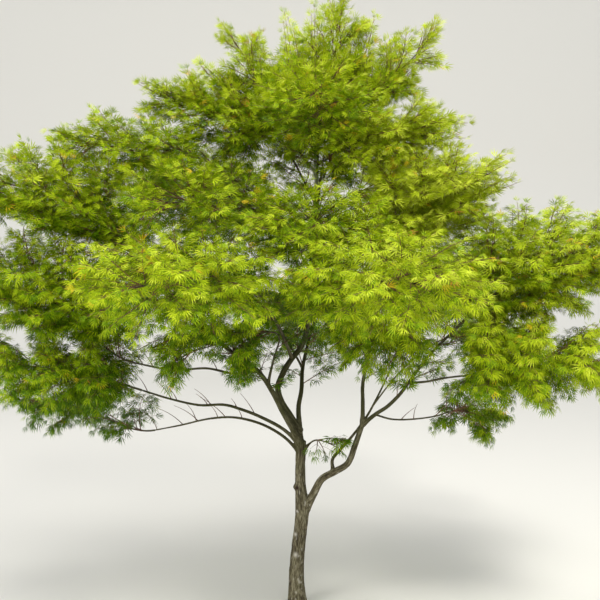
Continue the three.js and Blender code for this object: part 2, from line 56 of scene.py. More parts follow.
# Limbs that show. A course is a list of steps: heading and rise in degrees, and length. "start" is the
# earlier limb and the share of its length where this one leaves it, radii are those of root and tip.
limbCourses = {
    "trunk": {
        "course": [(180, 88, 135), (0, 86, 125), (0, 84, 140), (144, 86, 130), (60, 88, 165)],
        "radii": (34, 21)},
    "bough_centre": {
        "start": ("trunk", 0.96),
        "course": [(112, 81, 80), (112, 80, 80), (68, 65, 75), (86, 51, 95), (78, 42, 140), (76, 36, 150)],
        "radii": (12, 6)},
    "leader": {
        "start": ("bough_centre", 0.1),
        "course": [(-161, 60, 80), (-151, 56, 75), (-144, 72, 60), (0, 70, 70), (17, 57, 60), (13, 52, 70),
                   (17, 75, 135), (0, 85, 205), (0, 88, 240), (180, 89, 170)],
        "radii": (13, 9)},
    "bough_left_upright": {
        "start": ("trunk", 0.97),
        "course": [(-141, 59, 95), (-140, 56, 85), (-140, 59, 90), (-147, 53, 120), (-153, 36, 135),
                   (-164, 41, 185), (-172, 47, 170)],
        "radii": (13, 6)},
    "bough_left_upper": {
        "start": ("trunk", 0.96),
        "course": [(-160, 47, 100), (-158, 31, 115), (-161, 24, 100), (-163, 17, 70), (-168, 1, 95),
                   (-175, 13, 125), (-176, 18, 110)],
        "radii": (8.5, 4.5)},
    "bough_left_lower": {
        "start": ("trunk", 0.92),
        "course": [(178, 46, 95), (162, 26, 110), (161, 10, 120), (159, -6, 115), (159, -15, 145),
                   (165, -13, 120)],
        "radii": (7.5, 4)},
    "bough_right": {
        "start": ("trunk", 0.57),
        "course": [(-15, 60, 95), (-25, 60, 75), (-16, 32, 65), (-16, 35, 65), (-20, 68, 75), (-23, 71, 120)],
        "radii": (18, 10.5)},
    "bough_right_upright": {
        "start": ("bough_right", 0.97),
        "course": [(180, 90, 85), (88, 81, 70), (57, 68, 130), (68, 61, 155), (72, 72, 120)],
        "radii": (9, 5.5)},
    "bough_right_outer": {
        "start": ("bough_right", 0.95),
        "course": [(-25, 40, 75), (-34, 34, 65), (-34, 44, 75), (-46, 49, 85), (-40, 50, 145),
                   (-30, 45, 120)],
        "radii": (9, 5.5)},
    "bough_right_back": {
        "start": ("bough_right", 0.46),
        "course": [(93, 40, 65), (50, 32, 60), (40, 36, 95), (46, 38, 105), (59, 35, 115), (60, 38, 130)],
        "radii": (8, 4.5)},
    "bough_right_low": {
        "start": ("bough_right_outer", 0.13),
        "course": [(43, -18, 95), (45, -8, 130), (38, -1, 145), (46, 4, 90)],
        "radii": (4, 3)},
    "bough_left_middle": {
        "start": ("bough_left_upright", 0.44),
        "course": [(168, -8, 90), (176, 10, 120), (-172, -2, 130), (-168, 12, 150)],
        "radii": (5.5, 3.5)},
    "bough_right_front": {
        "start": ("bough_right_outer", 0.5),
        "course": [(-30, 8, 75), (-28, 14, 80), (-24, 10, 80)],
        "radii": (5, 3.5)},
}

# Boughs that the leaves hide: the limb and the share of its length where each starts, the mass that it
# grows towards and the lift of its arch
hiddenBoughs = {
    "bough_top_left": ("leader", 0.95, "leaves_top_left", 0),
    "bough_top_right": ("leader", 0.89, "leaves_top_right", 0.02),
    "bough_top_back": ("leader", 0.8, "leaves_top_back", 0.05),
    "bough_top_front": ("leader", 0.91, "leaves_top_front", 0.05),
    "bough_high_left": ("leader", 0.84, "leaves_high_left", 0.02),
    "bough_high_right": ("leader", 0.8, "leaves_high_right", 0.04),
    "bough_high_far_left": ("leader", 0.68, "leaves_high_far_left", 0.05),
    "bough_inner_left": ("leader", 0.6, "leaves_inner_left", 0.08),
    "bough_front_centre": ("leader", 0.54, "leaves_front_centre", 0.1),
    "bough_upper_back_left": ("leader", 0.52, "leaves_upper_back_left", 0.1),
    "bough_upper_back_right": ("bough_right_upright", 0.55, "leaves_upper_back_right", 0.08),
    "bough_front_left": ("leader", 0.3, "leaves_front_left", 0.12),
    "bough_front_right": ("leader", 0.38, "leaves_front_right", 0.12),
    "bough_back_left": ("bough_centre", 0.55, "leaves_back_left", 0.12),
    "bough_back_right": ("bough_right_back", 0.66, "leaves_low_back_right", 0.08),
    "bough_inner_right": ("bough_right_upright", 0.3, "leaves_inner_right", 0.1),
    "bough_inner_low_left": ("bough_left_upright", 0.36, "leaves_inner_low_left", 0.06),
    "bough_fork": ("trunk", 0.93, "leaves_fork", 0.02),
}

# Masses of leaves: the bough that carries each, its middle, its half sizes along, across and up,
# the heading and rise of its stem, and its number of main twigs
masses = {
    "leaves_top": ("leader", (140, -10, 2150), (305, 200, 175), 0, 82, 9),
    "leaves_top_left": ("bough_top_left", (-142, -40, 2090), (285, 180, 130), 184, 61, 7),
    "leaves_top_right": ("bough_top_right", (352, -60, 2100), (320, 180, 145), -4, 46, 8),
    "leaves_top_back": ("bough_top_back", (80, 370, 1980), (320, 300, 220), 92, 30, 5),
    "leaves_top_front": ("bough_top_front", (70, -340, 1980), (270, 280, 165), -95, 14, 6),
    "leaves_high_left": ("bough_high_left", (-290, -90, 1960), (350, 260, 165), 186, 20, 9),
    "leaves_high_right": ("bough_high_right", (325, -170, 1870), (325, 280, 165), -10, 14, 8),
    "leaves_high_far_left": ("bough_high_far_left", (-590, -220, 1830), (350, 300, 160), 196, 8, 8),
    "leaves_upper_left": ("bough_left_upright", (-850, -270, 1680), (460, 370, 200), 188, 6, 12),
    "leaves_inner_left": ("bough_inner_left", (-340, -410, 1620), (370, 320, 185), 225, 4, 7),
    "leaves_front_centre": ("bough_front_centre", (60, -540, 1550), (310, 330, 180), -92, 2, 6),
    "leaves_upper_right": ("bough_right_upright", (455, -200, 1680), (375, 350, 205), -14, 8, 10),
    "leaves_upper_back_left": ("bough_upper_back_left", (-420, 450, 1690), (470, 380, 240), 138, 8, 7),
    "leaves_upper_back_right": ("bough_upper_back_right", (480, 480, 1680), (440, 380, 240), 42, 8, 6),
    "leaves_front_left": ("bough_front_left", (-380, -770, 1360), (430, 410, 210), -118, 0, 9),
    "leaves_front_right": ("bough_front_right", (280, -800, 1370), (430, 400, 215), -66, 0, 10),
    "leaves_right": ("bough_right_outer", (860, -280, 1420), (490, 390, 250), -6, 3, 13),
    "leaves_left": ("bough_left_middle", (-870, -270, 1345), (460, 380, 235), 188, 2, 11),
    "leaves_back_left": ("bough_back_left", (-540, 720, 1330), (490, 400, 240), 128, 4, 6),
    "leaves_back_right": ("bough_right_back", (620, 760, 1330), (460, 390, 240), 52, 8, 7),
    "leaves_low_left": ("bough_left_upper", (-880, -190, 1000), (440, 330, 185), 182, 2, 10),
    "leaves_low_back_left": ("bough_left_lower", (-870, 260, 785), (370, 300, 145), 170, -4, 5),
    "leaves_low_right": ("bough_right_front", (790, -400, 1070), (420, 340, 210), -22, -4, 9),
    "leaves_low_hanging": ("bough_right_low", (740, 320, 740), (210, 180, 155), 20, -16, 4),
    "leaves_low_back": ("bough_centre", (60, 830, 1080), (440, 460, 230), 88, 0, 7),
    "leaves_low_back_right": ("bough_back_right", (860, 560, 1040), (350, 320, 190), 30, 0, 5),
    "leaves_inner_right": ("bough_inner_right", (330, -330, 1110), (270, 260, 150), -75, 0, 5),
    "leaves_inner_low_left": ("bough_inner_low_left", (-290, -220, 1075), (330, 250, 165), 205, -2, 5),
    "leaves_fork": ("bough_fork", (112, -50, 672), (105, 90, 62), -40, 4, 2),
}


# how many points a line is sampled at: a whole limb, a stem, one stretch of a course and an arch
samples = {"limb": 240, "stem": 120, "stretch": 60, "arch": 200}


# vectors divided by their own lengths
def unit(vectors):
    return vectors / np.maximum(np.linalg.norm(vectors, axis=-1, keepdims=True), 1e-9)


# the unit vector of a compass turn from +X and a climb from level, both in degrees
def directionOf(heading, rise):
    turn, climb = math.radians(heading), math.radians(rise)
    return np.array([math.cos(turn) * math.cos(climb), math.sin(turn) * math.cos(climb), math.sin(climb)])


# a number from 0 to 1 for each seed and place: the fraction of a large sine. The seeds of the draws for
# one thing differ by whole numbers
def chance(seed, place):
    wave = np.sin(np.asarray(seed) * 12.9898 + np.asarray(place) * 78.233) * 43758.5453
    return wave - np.floor(wave)


# a value from a pair of numbers and a share: the first, and the second times the share
def ranged(pair, share):
    return pair[0] + pair[1] * share


# a line sampled again so that its points are evenly spaced along it
def evenly(points, count):
    steps = np.linalg.norm(np.diff(points, axis=0), axis=1)
    along = np.concatenate([[0], np.cumsum(steps)])
    wanted = np.linspace(0, along[-1], count)
    return np.stack([np.interp(wanted, along, points[:, axis]) for axis in range(3)], axis=1)


# the point at the share t of an even line: its two nearest points, blended
def placeOn(line, t):
    at = np.asarray(t, dtype=float) * (len(line) - 1)
    low = np.clip(np.floor(at).astype(int), 0, len(line) - 2)
    part = (at - low)[..., None]
    return line[low] * (1 - part) + line[low + 1] * part


# the way an even line runs at the share t: from a hundredth before it to a hundredth after
def aheadOn(line, t):
    t = np.asarray(t, dtype=float)
    return unit(placeOn(line, np.clip(t + 0.01, 0, 1)) - placeOn(line, np.clip(t - 0.01, 0, 1)))


# the sum of the distances from each point of a line to the next
def lengthOf(line):
    return float(np.linalg.norm(np.diff(line, axis=0), axis=1).sum())


# a smooth curve through the ends of a course's steps: each stretch is a cubic, whose end slopes come
# from its neighbours and the square roots of the distances
def courseLine(start, course):
    knots = [np.array(start, dtype=float)]
    for heading, rise, length in course:
        knots.append(knots[-1] + directionOf(heading, rise) * length)
    knots = np.array(knots)
    padded = np.concatenate([[2 * knots[0] - knots[1]], knots, [2 * knots[-1] - knots[-2]]])
    span = np.sqrt(np.linalg.norm(np.diff(padded, axis=0), axis=1))[:, None]
    a, b, c, d = padded[:-3], padded[1:-2], padded[2:-1], padded[3:]
    before, within, after = span[:-2], span[1:-1], span[2:]
    leave = ((b - a) / before - (c - a) / (before + within) + (c - b) / within) * within
    arrive = ((c - b) / within - (d - b) / (within + after) + (d - c) / after) * within
    t = np.linspace(0, 1, samples["stretch"])[None, :, None]
    b, c, leave, arrive = b[:, None], c[:, None], leave[:, None], arrive[:, None]
    points = (b + leave * t + (-3 * b + 3 * c - 2 * leave - arrive) * t ** 2
              + (2 * b - 2 * c + leave + arrive) * t ** 3)
    return evenly(points.reshape(-1, 3), samples["limb"])


# curves drawn towards three or four control points, each weighted by its share of t and 1 - t, for one
# line or for many at once
def drawnTo(controls, t):
    weights = {
        3: [(1 - t) ** 2, 2 * t * (1 - t), t ** 2],
        4: [(1 - t) ** 3, 3 * t * (1 - t) ** 2, 3 * t ** 2 * (1 - t), t ** 3],
    }[len(controls)]
    pairs = zip(controls, weights)
    return sum(np.asarray(control)[..., None, :] * weight[:, None] for control, weight in pairs)


trunkShape = {"rootFlare": 13, "flareHeight": 45, "forkSwell": 4.5, "forkAt": 0.6, "forkSpan": 0.09,
              "topReached": 0.8, "belowGround": 20}


# the trunk's radius: a straight taper, a flare that fades upwards from the ground and a swell at the fork
def trunkRadius(t, length, radii):
    foot, top = radii
    flare = trunkShape["rootFlare"] * np.exp(-t * length / trunkShape["flareHeight"])
    swell = trunkShape["forkSwell"] * np.exp(-((t - trunkShape["forkAt"]) / trunkShape["forkSpan"]) ** 2)
    return foot + (top - foot) * np.minimum(1, t / trunkShape["topReached"]) + flare + swell


limbTaper = 1.15


# a limb's radius: the tip's, and what the root has more, by a power of the way left to go
def limbRadius(t, radii):
    return radii[1] + (radii[0] - radii[1]) * (1 - t) ** limbTaper


# a mass's three axes: along its stem, level across it, and up
def axesOf(mass):
    heading, rise = masses[mass][3:5]
    along = directionOf(heading, rise)
    across = directionOf(heading + 90, 0)
    return along, across, np.cross(along, across)


# a hidden bough ends at this share of its mass's half length before the middle, and a mass's stem at
# that share past it. Control points stand at shares of the stem's length
hiddenShape = {"before": 0.72, "root": 0.6, "tip": 3.5}
stemShape = {"past": 0.6, "leaves": 0.3, "arrives": 0.45}


# a limb's radius at the share of its length
def girthAt(limb, at):
    return float(np.interp(at, np.linspace(0, 1, len(limb["radii"])), limb["radii"]))


# every limb's line and radii, each from its place on an earlier one. A hidden bough is an arch, lifted
# in its middle, and starts at a share of its parent's girth
def layOutLimbs():
    laid = {}
    for name, limb in limbCourses.items():
        start, girth = np.array([0, 0, -trunkShape["belowGround"]]), 0
        if "start" in limb:
            parent, at = limb["start"]
            start, girth = placeOn(laid[parent]["line"], at), girthAt(laid[parent], at)
        line = courseLine(start, limb["course"])
        t = np.linspace(0, 1, len(line))
        trunk = name == "trunk"
        radii = trunkRadius(t, lengthOf(line), limb["radii"]) if trunk else limbRadius(t, limb["radii"])
        laid[name] = {"line": line, "radii": radii, "parentGirth": girth}
    for name, (parent, at, mass, lift) in hiddenBoughs.items():
        start, girth = placeOn(laid[parent]["line"], at), girthAt(laid[parent], at)
        middle, half = np.array(masses[mass][1]), masses[mass][2]
        end = middle - hiddenShape["before"] * half[0] * axesOf(mass)[0]
        control = (start + end) / 2 + skyward * lift * 2 * np.linalg.norm(end - start)
        line = evenly(drawnTo([start, control, end], np.linspace(0, 1, samples["arch"])), samples["limb"])
        radii = limbRadius(np.linspace(0, 1, len(line)), (girth * hiddenShape["root"], hiddenShape["tip"]))
        laid[name] = {"line": line, "radii": radii, "parentGirth": girth}
    return laid


# the stem of each mass goes on from its bough's tip: a curve that leaves along the bough and arrives
# along the mass
def layOutStems(laid):
    made = {}
    for name, (bough, middle, half, _, _, _) in masses.items():
        line = laid[bough]["line"]
        ahead = aheadOn(line, 1.0)
        along = axesOf(name)[0]
        start = line[-1]
        end = np.array(middle) + along * stemShape["past"] * half[0]
        length = np.linalg.norm(end - start)
        controls = [start, start + ahead * stemShape["leaves"] * length,
                    end - along * stemShape["arrives"] * length, end]
        made[name] = evenly(drawnTo(controls, np.linspace(0, 1, samples["arch"])), samples["stem"])
    return made


limbs = layOutLimbs()
stems = layOutStems(limbs)
print("limbs laid out:", len(limbs), "and stems:", len(stems))


# a mesh object from points in millimetres and arrays of faces, each array with one number of corners
def meshObject(name, points, faceSets, materials, materialIndex=None, smooth=True):
    mesh = bpy.data.meshes.new(name)
    corners = np.concatenate([faces.ravel() for faces in faceSets]).astype(np.int32)
    totals = np.concatenate([np.full(len(faces), faces.shape[1]) for faces in faceSets]).astype(np.int32)
    starts = np.concatenate([[0], np.cumsum(totals)[:-1]]).astype(np.int32)
    mesh.vertices.add(len(points))
    mesh.vertices.foreach_set("co", (np.asarray(points) * mm).astype(np.float32).ravel())
    mesh.loops.add(len(corners))
    mesh.loops.foreach_set("vertex_index", corners)
    mesh.polygons.add(len(totals))
    mesh.polygons.foreach_set("loop_start", starts)
    mesh.polygons.foreach_set("loop_total", totals)
    if materialIndex is not None:
        mesh.polygons.foreach_set("material_index", np.asarray(materialIndex, dtype=np.int32))
    mesh.polygons.foreach_set("use_smooth", np.full(len(totals), smooth))
    for material in materials:
        mesh.materials.append(material)
    mesh.update(calc_edges=True)
    made = bpy.data.objects.new(name, mesh)
    bpy.context.collection.objects.link(made)
    return made


# a field on a mesh's points: one number or one vector to each
def pointAttribute(made, name, kind, values):
    field = made.data.attributes.new(name, kind, "POINT")
    field.data.foreach_set("vector" if kind == "FLOAT_VECTOR" else "value",
                           np.asarray(values, dtype=np.float32).ravel())


# tubes along many lines at once: round each point of a line stands a ring of corners, at its radius
# times the cosine and sine of the corner's turn in a frame square to the line
def tubes(lines, radii, sides):
    count, steps = lines.shape[:2]
    ahead = unit(np.gradient(lines, axis=1))
    steepest = np.abs(ahead).max(axis=1)
    reference = np.eye(3)[np.argmin(steepest, axis=1)][:, None, :]
    side = unit(np.cross(reference, ahead))
    lift = np.cross(ahead, side)
    turns = np.arange(sides) * 2 * math.pi / sides
    ring = (side[:, :, None] * np.cos(turns)[:, None] + lift[:, :, None] * np.sin(turns)[:, None])
    points = lines[:, :, None] + ring * radii[:, :, None, None]
    index = np.arange(count * steps * sides).reshape(count, steps, sides)
    here, there = index[:, :-1], index[:, 1:]
    walls = np.stack([here, np.roll(here, -1, axis=2), np.roll(there, -1, axis=2), there], axis=-1)
    ends = np.concatenate([index[:, 0, ::-1], index[:, -1]])
    return points.reshape(-1, 3), [walls.reshape(-1, 4), ends]


# tubes that thin evenly from root to tip
def taperedTubes(lines, root, tip, sides):
    radii = root + (tip - root) * np.linspace(0, 1, lines.shape[1])
    return tubes(lines, np.broadcast_to(radii, lines.shape[:2]), sides)


# many points and faces as one, with each part's corners counted on from the last
def joined(parts):
    points, sets, offset = [], {}, 0
    for some, faceSets in parts:
        for faces in faceSets:
            sets.setdefault(faces.shape[1], []).append(faces + offset)
        points.append(some)
        offset += len(some)
    return np.concatenate(points), [np.concatenate(faces) for faces in sets.values()]


# smooth noise from 0 to 1 at each place: hashed values at the corners of unit cells, blended
def noise(places, seed=0):
    cell = np.floor(places)
    part = places - cell
    part = part * part * (3 - 2 * part)
    total = 0
    for corner in range(8):
        step = np.array([corner & 1, corner >> 1 & 1, corner >> 2 & 1])
        at = cell + step
        value = chance(seed, at[..., 0] + at[..., 1] * 57.31 + at[..., 2] * 113.97)
        weight = np.prod(np.where(step, part, 1 - part), axis=-1)
        total = total + value * weight
    return total


# Finishes: a new material and its shader
def newMaterial(name):
    material = bpy.data.materials.new(name)
    material.use_nodes = True
    return material, material.node_tree.nodes["Principled BSDF"]


# the linear colour of a plain red, green and blue of 0 to 255, by the curve that screens use
def plainRgb(red, green, blue):
    value = np.array([red, green, blue]) / 255
    return tuple(np.where(value <= 0.04045, value / 12.92, ((value + 0.055) / 1.055) ** 2.4)) + (1.0,)


# a named field of the mesh
def fieldNode(tree, name, output="Fac"):
    node = tree.nodes.new("ShaderNodeAttribute")
    node.attribute_name = name
    return node.outputs[output]


# cloudy noise at a place, by its scale, detail and roughness
def noiseNode(tree, place, scale, detail, roughness=0.5):
    node = tree.nodes.new("ShaderNodeTexNoise")
    node.inputs["Scale"].default_value = scale
    node.inputs["Detail"].default_value = detail
    node.inputs["Roughness"].default_value = roughness
    tree.links.new(place, node.inputs["Vector"])
    return node.outputs["Fac"]


# colours at steps of a factor, blended between
def rampNode(tree, factor, steps, colours):
    node = tree.nodes.new("ShaderNodeValToRGB")
    elements = node.color_ramp.elements
    for element, place in ((elements[0], 0), (elements[1], -1)):
        element.position = steps[place]
        element.color = plainRgb(*colours[place])
    for step, colour in zip(steps[1:-1], colours[1:-1]):
        elements.new(step).color = plainRgb(*colour)
    tree.links.new(factor, node.inputs["Fac"])
    return node.outputs["Color"]


# a colour laid over another where a factor says
def overlaid(tree, under, colour, factor):
    node = tree.nodes.new("ShaderNodeMix")
    node.data_type = "RGBA"
    node.inputs["B"].default_value = plainRgb(*colour)
    tree.links.new(under, node.inputs["A"])
    tree.links.new(factor, node.inputs["Factor"])
    return node.outputs["Result"]


# From dark to sunlitPale the tints are one leaf green painted in steps of light and shade, which younger
# growth and chance also shift; gold and copper are the leaves' own tints
leafTints = {
    "sunlit": (176, 192, 30), "sunlitPale": (192, 204, 58), "freshAndLit": (158, 178, 16), "middle": (138, 162, 10),
    "deep": (116, 146, 6), "shade": (92, 126, 4), "dark": (68, 102, 3), "gold": (204, 174, 36),
    "copper": (184, 138, 44),
}
leafSheen = {"roughness": 0.55, "specular": 0.12}


# one plain material to each tint, so the lit and shaded steps of the leaf green are materials of their own
def leafMaterials():
    made = []
    for name, colour in leafTints.items():
        material, shader = newMaterial("leaf_" + name)
        shader.inputs["Base Color"].default_value = plainRgb(*colour)
        shader.inputs["Roughness"].default_value = leafSheen["roughness"]
        shader.inputs["Specular IOR Level"].default_value = leafSheen["specular"]
        made.append(material)
    return made


# The dark green of moss is also painted shade on the wood high under the crown, and the dark brown darkens
# the scar and is painted shade in the fork
barkFinish = {
    "colours": [(50, 44, 30), (88, 81, 60), (134, 128, 104)], "steps": [0.36, 0.5, 0.66],
    "mossAndShade": (54, 56, 24), "pale": (196, 192, 180), "scarAndShade": (44, 30, 22),
    "streaks": (1.6, 6, 0.62), "patches": (0.35, 3), "patchShare": 0.5, "pores": (5, 5),
    "bump": 0.6, "bumpDepth": 0.002, "roughness": 0.88, "specular": 0.25,
}


# bark: streaks along the limb and broad patches, both from noise on the limb's own coordinates, then
# moss with painted shade, pale bark, and dark brown on the scar and as painted shade in the fork, where their
# fields say, and fine pores as bump
def barkMaterial():
    material, shader = newMaterial("bark")
    tree = material.node_tree
    place = fieldNode(tree, "barkPlace", "Vector")
    streak = noiseNode(tree, place, *barkFinish["streaks"])
    patch = noiseNode(tree, place, *barkFinish["patches"])
    shifted = tree.nodes.new("ShaderNodeMath")
    shifted.operation = "MULTIPLY_ADD"
    tree.links.new(patch, shifted.inputs[0])
    shifted.inputs[1].default_value = barkFinish["patchShare"]
    shifted.inputs[2].default_value = -barkFinish["patchShare"] / 2
    added = tree.nodes.new("ShaderNodeMath")
    added.operation = "ADD"
    tree.links.new(streak, added.inputs[0])
    tree.links.new(shifted.outputs[0], added.inputs[1])
    colour = rampNode(tree, added.outputs[0], barkFinish["steps"], barkFinish["colours"])
    for name in ("mossAndShade", "pale", "scarAndShade"):
        colour = overlaid(tree, colour, barkFinish[name], fieldNode(tree, name))
    tree.links.new(colour, shader.inputs["Base Color"])
    shader.inputs["Roughness"].default_value = barkFinish["roughness"]
    shader.inputs["Specular IOR Level"].default_value = barkFinish["specular"]
    bump = tree.nodes.new("ShaderNodeBump")
    bump.inputs["Strength"].default_value = barkFinish["bump"]
    bump.inputs["Distance"].default_value = barkFinish["bumpDepth"]
    tree.links.new(noiseNode(tree, place, *barkFinish["pores"]), bump.inputs["Height"])
    tree.links.new(bump.outputs["Normal"], shader.inputs["Normal"])
    return material


twigBark = {"colours": [(84, 50, 34), (128, 92, 58)], "steps": [0.35, 0.7], "patches": (24, 3),
            "roughness": 0.7}


# twigs: red-brown to tan by noise
def twigMaterial():
    material, shader = newMaterial("twig")
    tree = material.node_tree
    place = tree.nodes.new("ShaderNodeTexCoord").outputs["Object"]
    spread = noiseNode(tree, place, *twigBark["patches"])
    colour = rampNode(tree, spread, twigBark["steps"], twigBark["colours"])
    tree.links.new(colour, shader.inputs["Base Color"])
    shader.inputs["Roughness"].default_value = twigBark["roughness"]
    return material


bark = barkMaterial()
twigFinish = twigMaterial()
leafFinishes = leafMaterials()
print("finishes made:", 2 + len(leafFinishes))


# Wood: the thick limbs as one skin. "keep" is what a point keeps of its own place in each smoothing, and
# grain, fissure, knot and fleck are sizes round and along the limb. "apart" is how far on in the noise
# each limb's places begin from the last one's
woodShape = {"voxel": 2.6, "smoothing": 5, "keep": 0.4, "collar": 0.42, "collarReach": 1.3,
             "relief": 1.5, "usualGirth": 22, "reliefLimits": (0.25, 1.2), "fissureDepth": 0.9,
             "knotHeight": 0.7, "scarAndShadeEdge": 1.4, "stemGirth": 4.0, "stations": 90, "sides": 20,
             "grain": (7, 7, 40), "fissure": (9, 9, 70), "knot": (16, 16, 26), "fleck": (6, 6, 14),
             "apart": 731.0,
             "thick": ["trunk", "bough_centre", "leader", "bough_left_upright", "bough_left_upper",
                       "bough_left_lower", "bough_right", "bough_right_upright", "bough_right_outer",
                       "bough_right_back"]}
chunk = 4000  # how many points are compared with the limbs at a time


# a limb's radii swell towards its root as a branch collar does, and fade over a few radii
def collared(limb):
    line, radii = limb["line"], limb["radii"].copy()
    if limb["parentGirth"]:
        away = np.linspace(0, lengthOf(line), len(line)) - limb["parentGirth"]
        swell = np.exp(-np.clip(away, 0, None) / (woodShape["collarReach"] * radii[0]))
        radii = radii * (1 + woodShape["collar"] * swell)
    return radii


# one limb as a tube with rings at even shares of its length
def limbTube(name, stations, sides):
    limb = limbs[name]
    at = np.linspace(0, 1, stations)
    line = placeOn(limb["line"], at)
    radii = np.interp(at, np.linspace(0, 1, len(limb["line"])), collared(limb))
    return tubes(line[None], radii[None], sides)


# a modifier added and applied at once
def modifierApplied(made, kind, **settings):
    modifier = made.modifiers.new(kind.lower(), kind)
    for key, value in settings.items():
        setattr(modifier, key, value)
    bpy.context.view_layer.objects.active = made
    bpy.ops.object.modifier_apply(modifier=modifier.name)


# a mesh's points in millimetres
def readPoints(mesh):
    points = np.empty(len(mesh.vertices) * 3, dtype=np.float32)
    mesh.vertices.foreach_get("co", points)
    return points.reshape(-1, 3).astype(float) / mm


# the pairs of points that a mesh's edges join
def readEdges(mesh):
    edges = np.empty(len(mesh.edges) * 2, dtype=np.int32)
    mesh.edges.foreach_get("vertices", edges)
    return edges.reshape(-1, 2)


# for each point, which sample of the lines has its skin nearest, and how far that skin is: the root of
# a square less twice a product plus a square, less the girth there
def nearestOn(points, axes, girths):
    nearest, away = np.empty(len(points), dtype=int), np.empty(len(points))
    for start in range(0, len(points), chunk):
        some = points[start:start + chunk]
        square = (some ** 2).sum(1)[:, None] - 2 * some @ axes.T + (axes ** 2).sum(1)[None]
        skin = np.sqrt(np.maximum(square, 0)) - girths[None]
        nearest[start:start + chunk] = np.argmin(skin, axis=1)
        away[start:start + chunk] = skin.min(axis=1)
    return nearest, away


# each point's nearest limb or stem, as a place across and along it, the way out from its axis and its
# girth
def barkPlaces(points, names):
    axes, offsets, frames, girths = [], [], [], []
    for order, name in enumerate(names):
        line = limbs[name]["line"] if name in limbs else stems[name]
        whole = unit(line[-1] - line[0])
        side = unit(np.cross(whole, np.eye(3)[np.argmin(np.abs(whole))]))
        axes.append(line)
        offsets.append(np.linspace(0, lengthOf(line), len(line)) + order * woodShape["apart"])
        frames.append(np.repeat([[side, np.cross(whole, side)]], len(line), axis=0))
        girths.append(limbs[name]["radii"] if name in limbs else np.full(len(line), woodShape["stemGirth"]))
    axes, offsets = np.concatenate(axes), np.concatenate(offsets)
    frames, girths = np.concatenate(frames), np.concatenate(girths)
    nearest = nearestOn(points, axes, girths)[0]
    out = points - axes[nearest]
    across = np.einsum("nij,nj->ni", frames[nearest], out)
    return np.column_stack([across, offsets[nearest]]), unit(out), girths[nearest]


# marks on the wood: where each is, how far it spreads, how far it stands out of the bark, and the dark brown
# and pale bark that it takes. The dark brown is on the scar, and painted shade at the fork
barkMarks = {
    "knob": {"at": (-13, -4, 484), "spread": 12, "out": 11},
    "scar": {"at": (-3, -15, 482), "spread": 8, "out": -4, "scarAndShade": 1.0},
    # painted shade in the fork: a dark brown patch on bark that stands out nothing
    "fork shade": {"at": (20, -12, 632), "spread": 15, "out": 0, "scarAndShade": 0.7},
    "upper fleck": {"at": (-2, -19, 387), "spread": 5, "out": 0, "pale": 0.9},
    "middle fleck": {"at": (-8, -19, 291), "spread": 7, "out": 0, "pale": 0.8},
    "lower fleck": {"at": (-8, -26, 208), "spread": 9, "out": 0, "pale": 0.8},
}
paleStretch = {"limb": "leader", "from": 1690, "to": 1850, "fade": 14, "within": 30, "most": 0.85,
               "patchy": (0.65, 0.35)}
# Moss gathers round the fork where it is damp; "above", "over" and "high" darken the wood upwards with the
# same green as painted shade under the crown, and "boughs" is moss and painted shade on the thinner boughs
mossAndShadeHabit = {"fork": (0, 0, 690), "round": 110, "atFork": 1.2, "spots": 0.5, "spotsAbove": 0.62,
             "above": 560, "over": 240, "most": 0.6, "patch": 30.0, "high": (0.5, 0.45),
             "boughs": (0.2, 0.3)}
fleckHabit = {"above": 0.8, "edge": 6, "most": 0.4, "below": 560}


# how pale the bark is: nearly white on a stretch of the leader and on what leaves it there
def paleOf(points, damp):
    line = limbs[paleStretch["limb"]]["line"]
    away = nearestOn(points, line, np.zeros(len(line)))[1]
    risen = np.clip((points[:, 2] - paleStretch["from"]) / paleStretch["fade"], 0, 1)
    left = np.clip((paleStretch["to"] - points[:, 2]) / paleStretch["fade"], 0, 1)
    shown = paleStretch["most"] * risen * left * (away < paleStretch["within"])
    return shown * ranged(paleStretch["patchy"], damp)


# how mossy and shaded the wood is: moss most round the fork where it is damp, and from there upwards more of
# the same dark green as painted shade under the crown
def mossAndShadeOf(points, damp):
    fork = np.linalg.norm(points - np.array(mossAndShadeHabit["fork"]), axis=1)
    patches = (mossAndShadeHabit["atFork"] * np.exp(-(fork / mossAndShadeHabit["round"]) ** 2) * damp
               + mossAndShadeHabit["spots"] * (damp - mossAndShadeHabit["spotsAbove"]))
    higher = np.clip((points[:, 2] - mossAndShadeHabit["above"]) / mossAndShadeHabit["over"], 0, 1)
    return np.maximum(np.clip(patches, 0, mossAndShadeHabit["most"]), higher * ranged(mossAndShadeHabit["high"], damp))


# a bell round a place: 1 there, falling with the square of the distance in spreads
def bell(points, at, spread):
    return np.exp(-(np.linalg.norm(points - np.array(at), axis=1) / spread) ** 2)


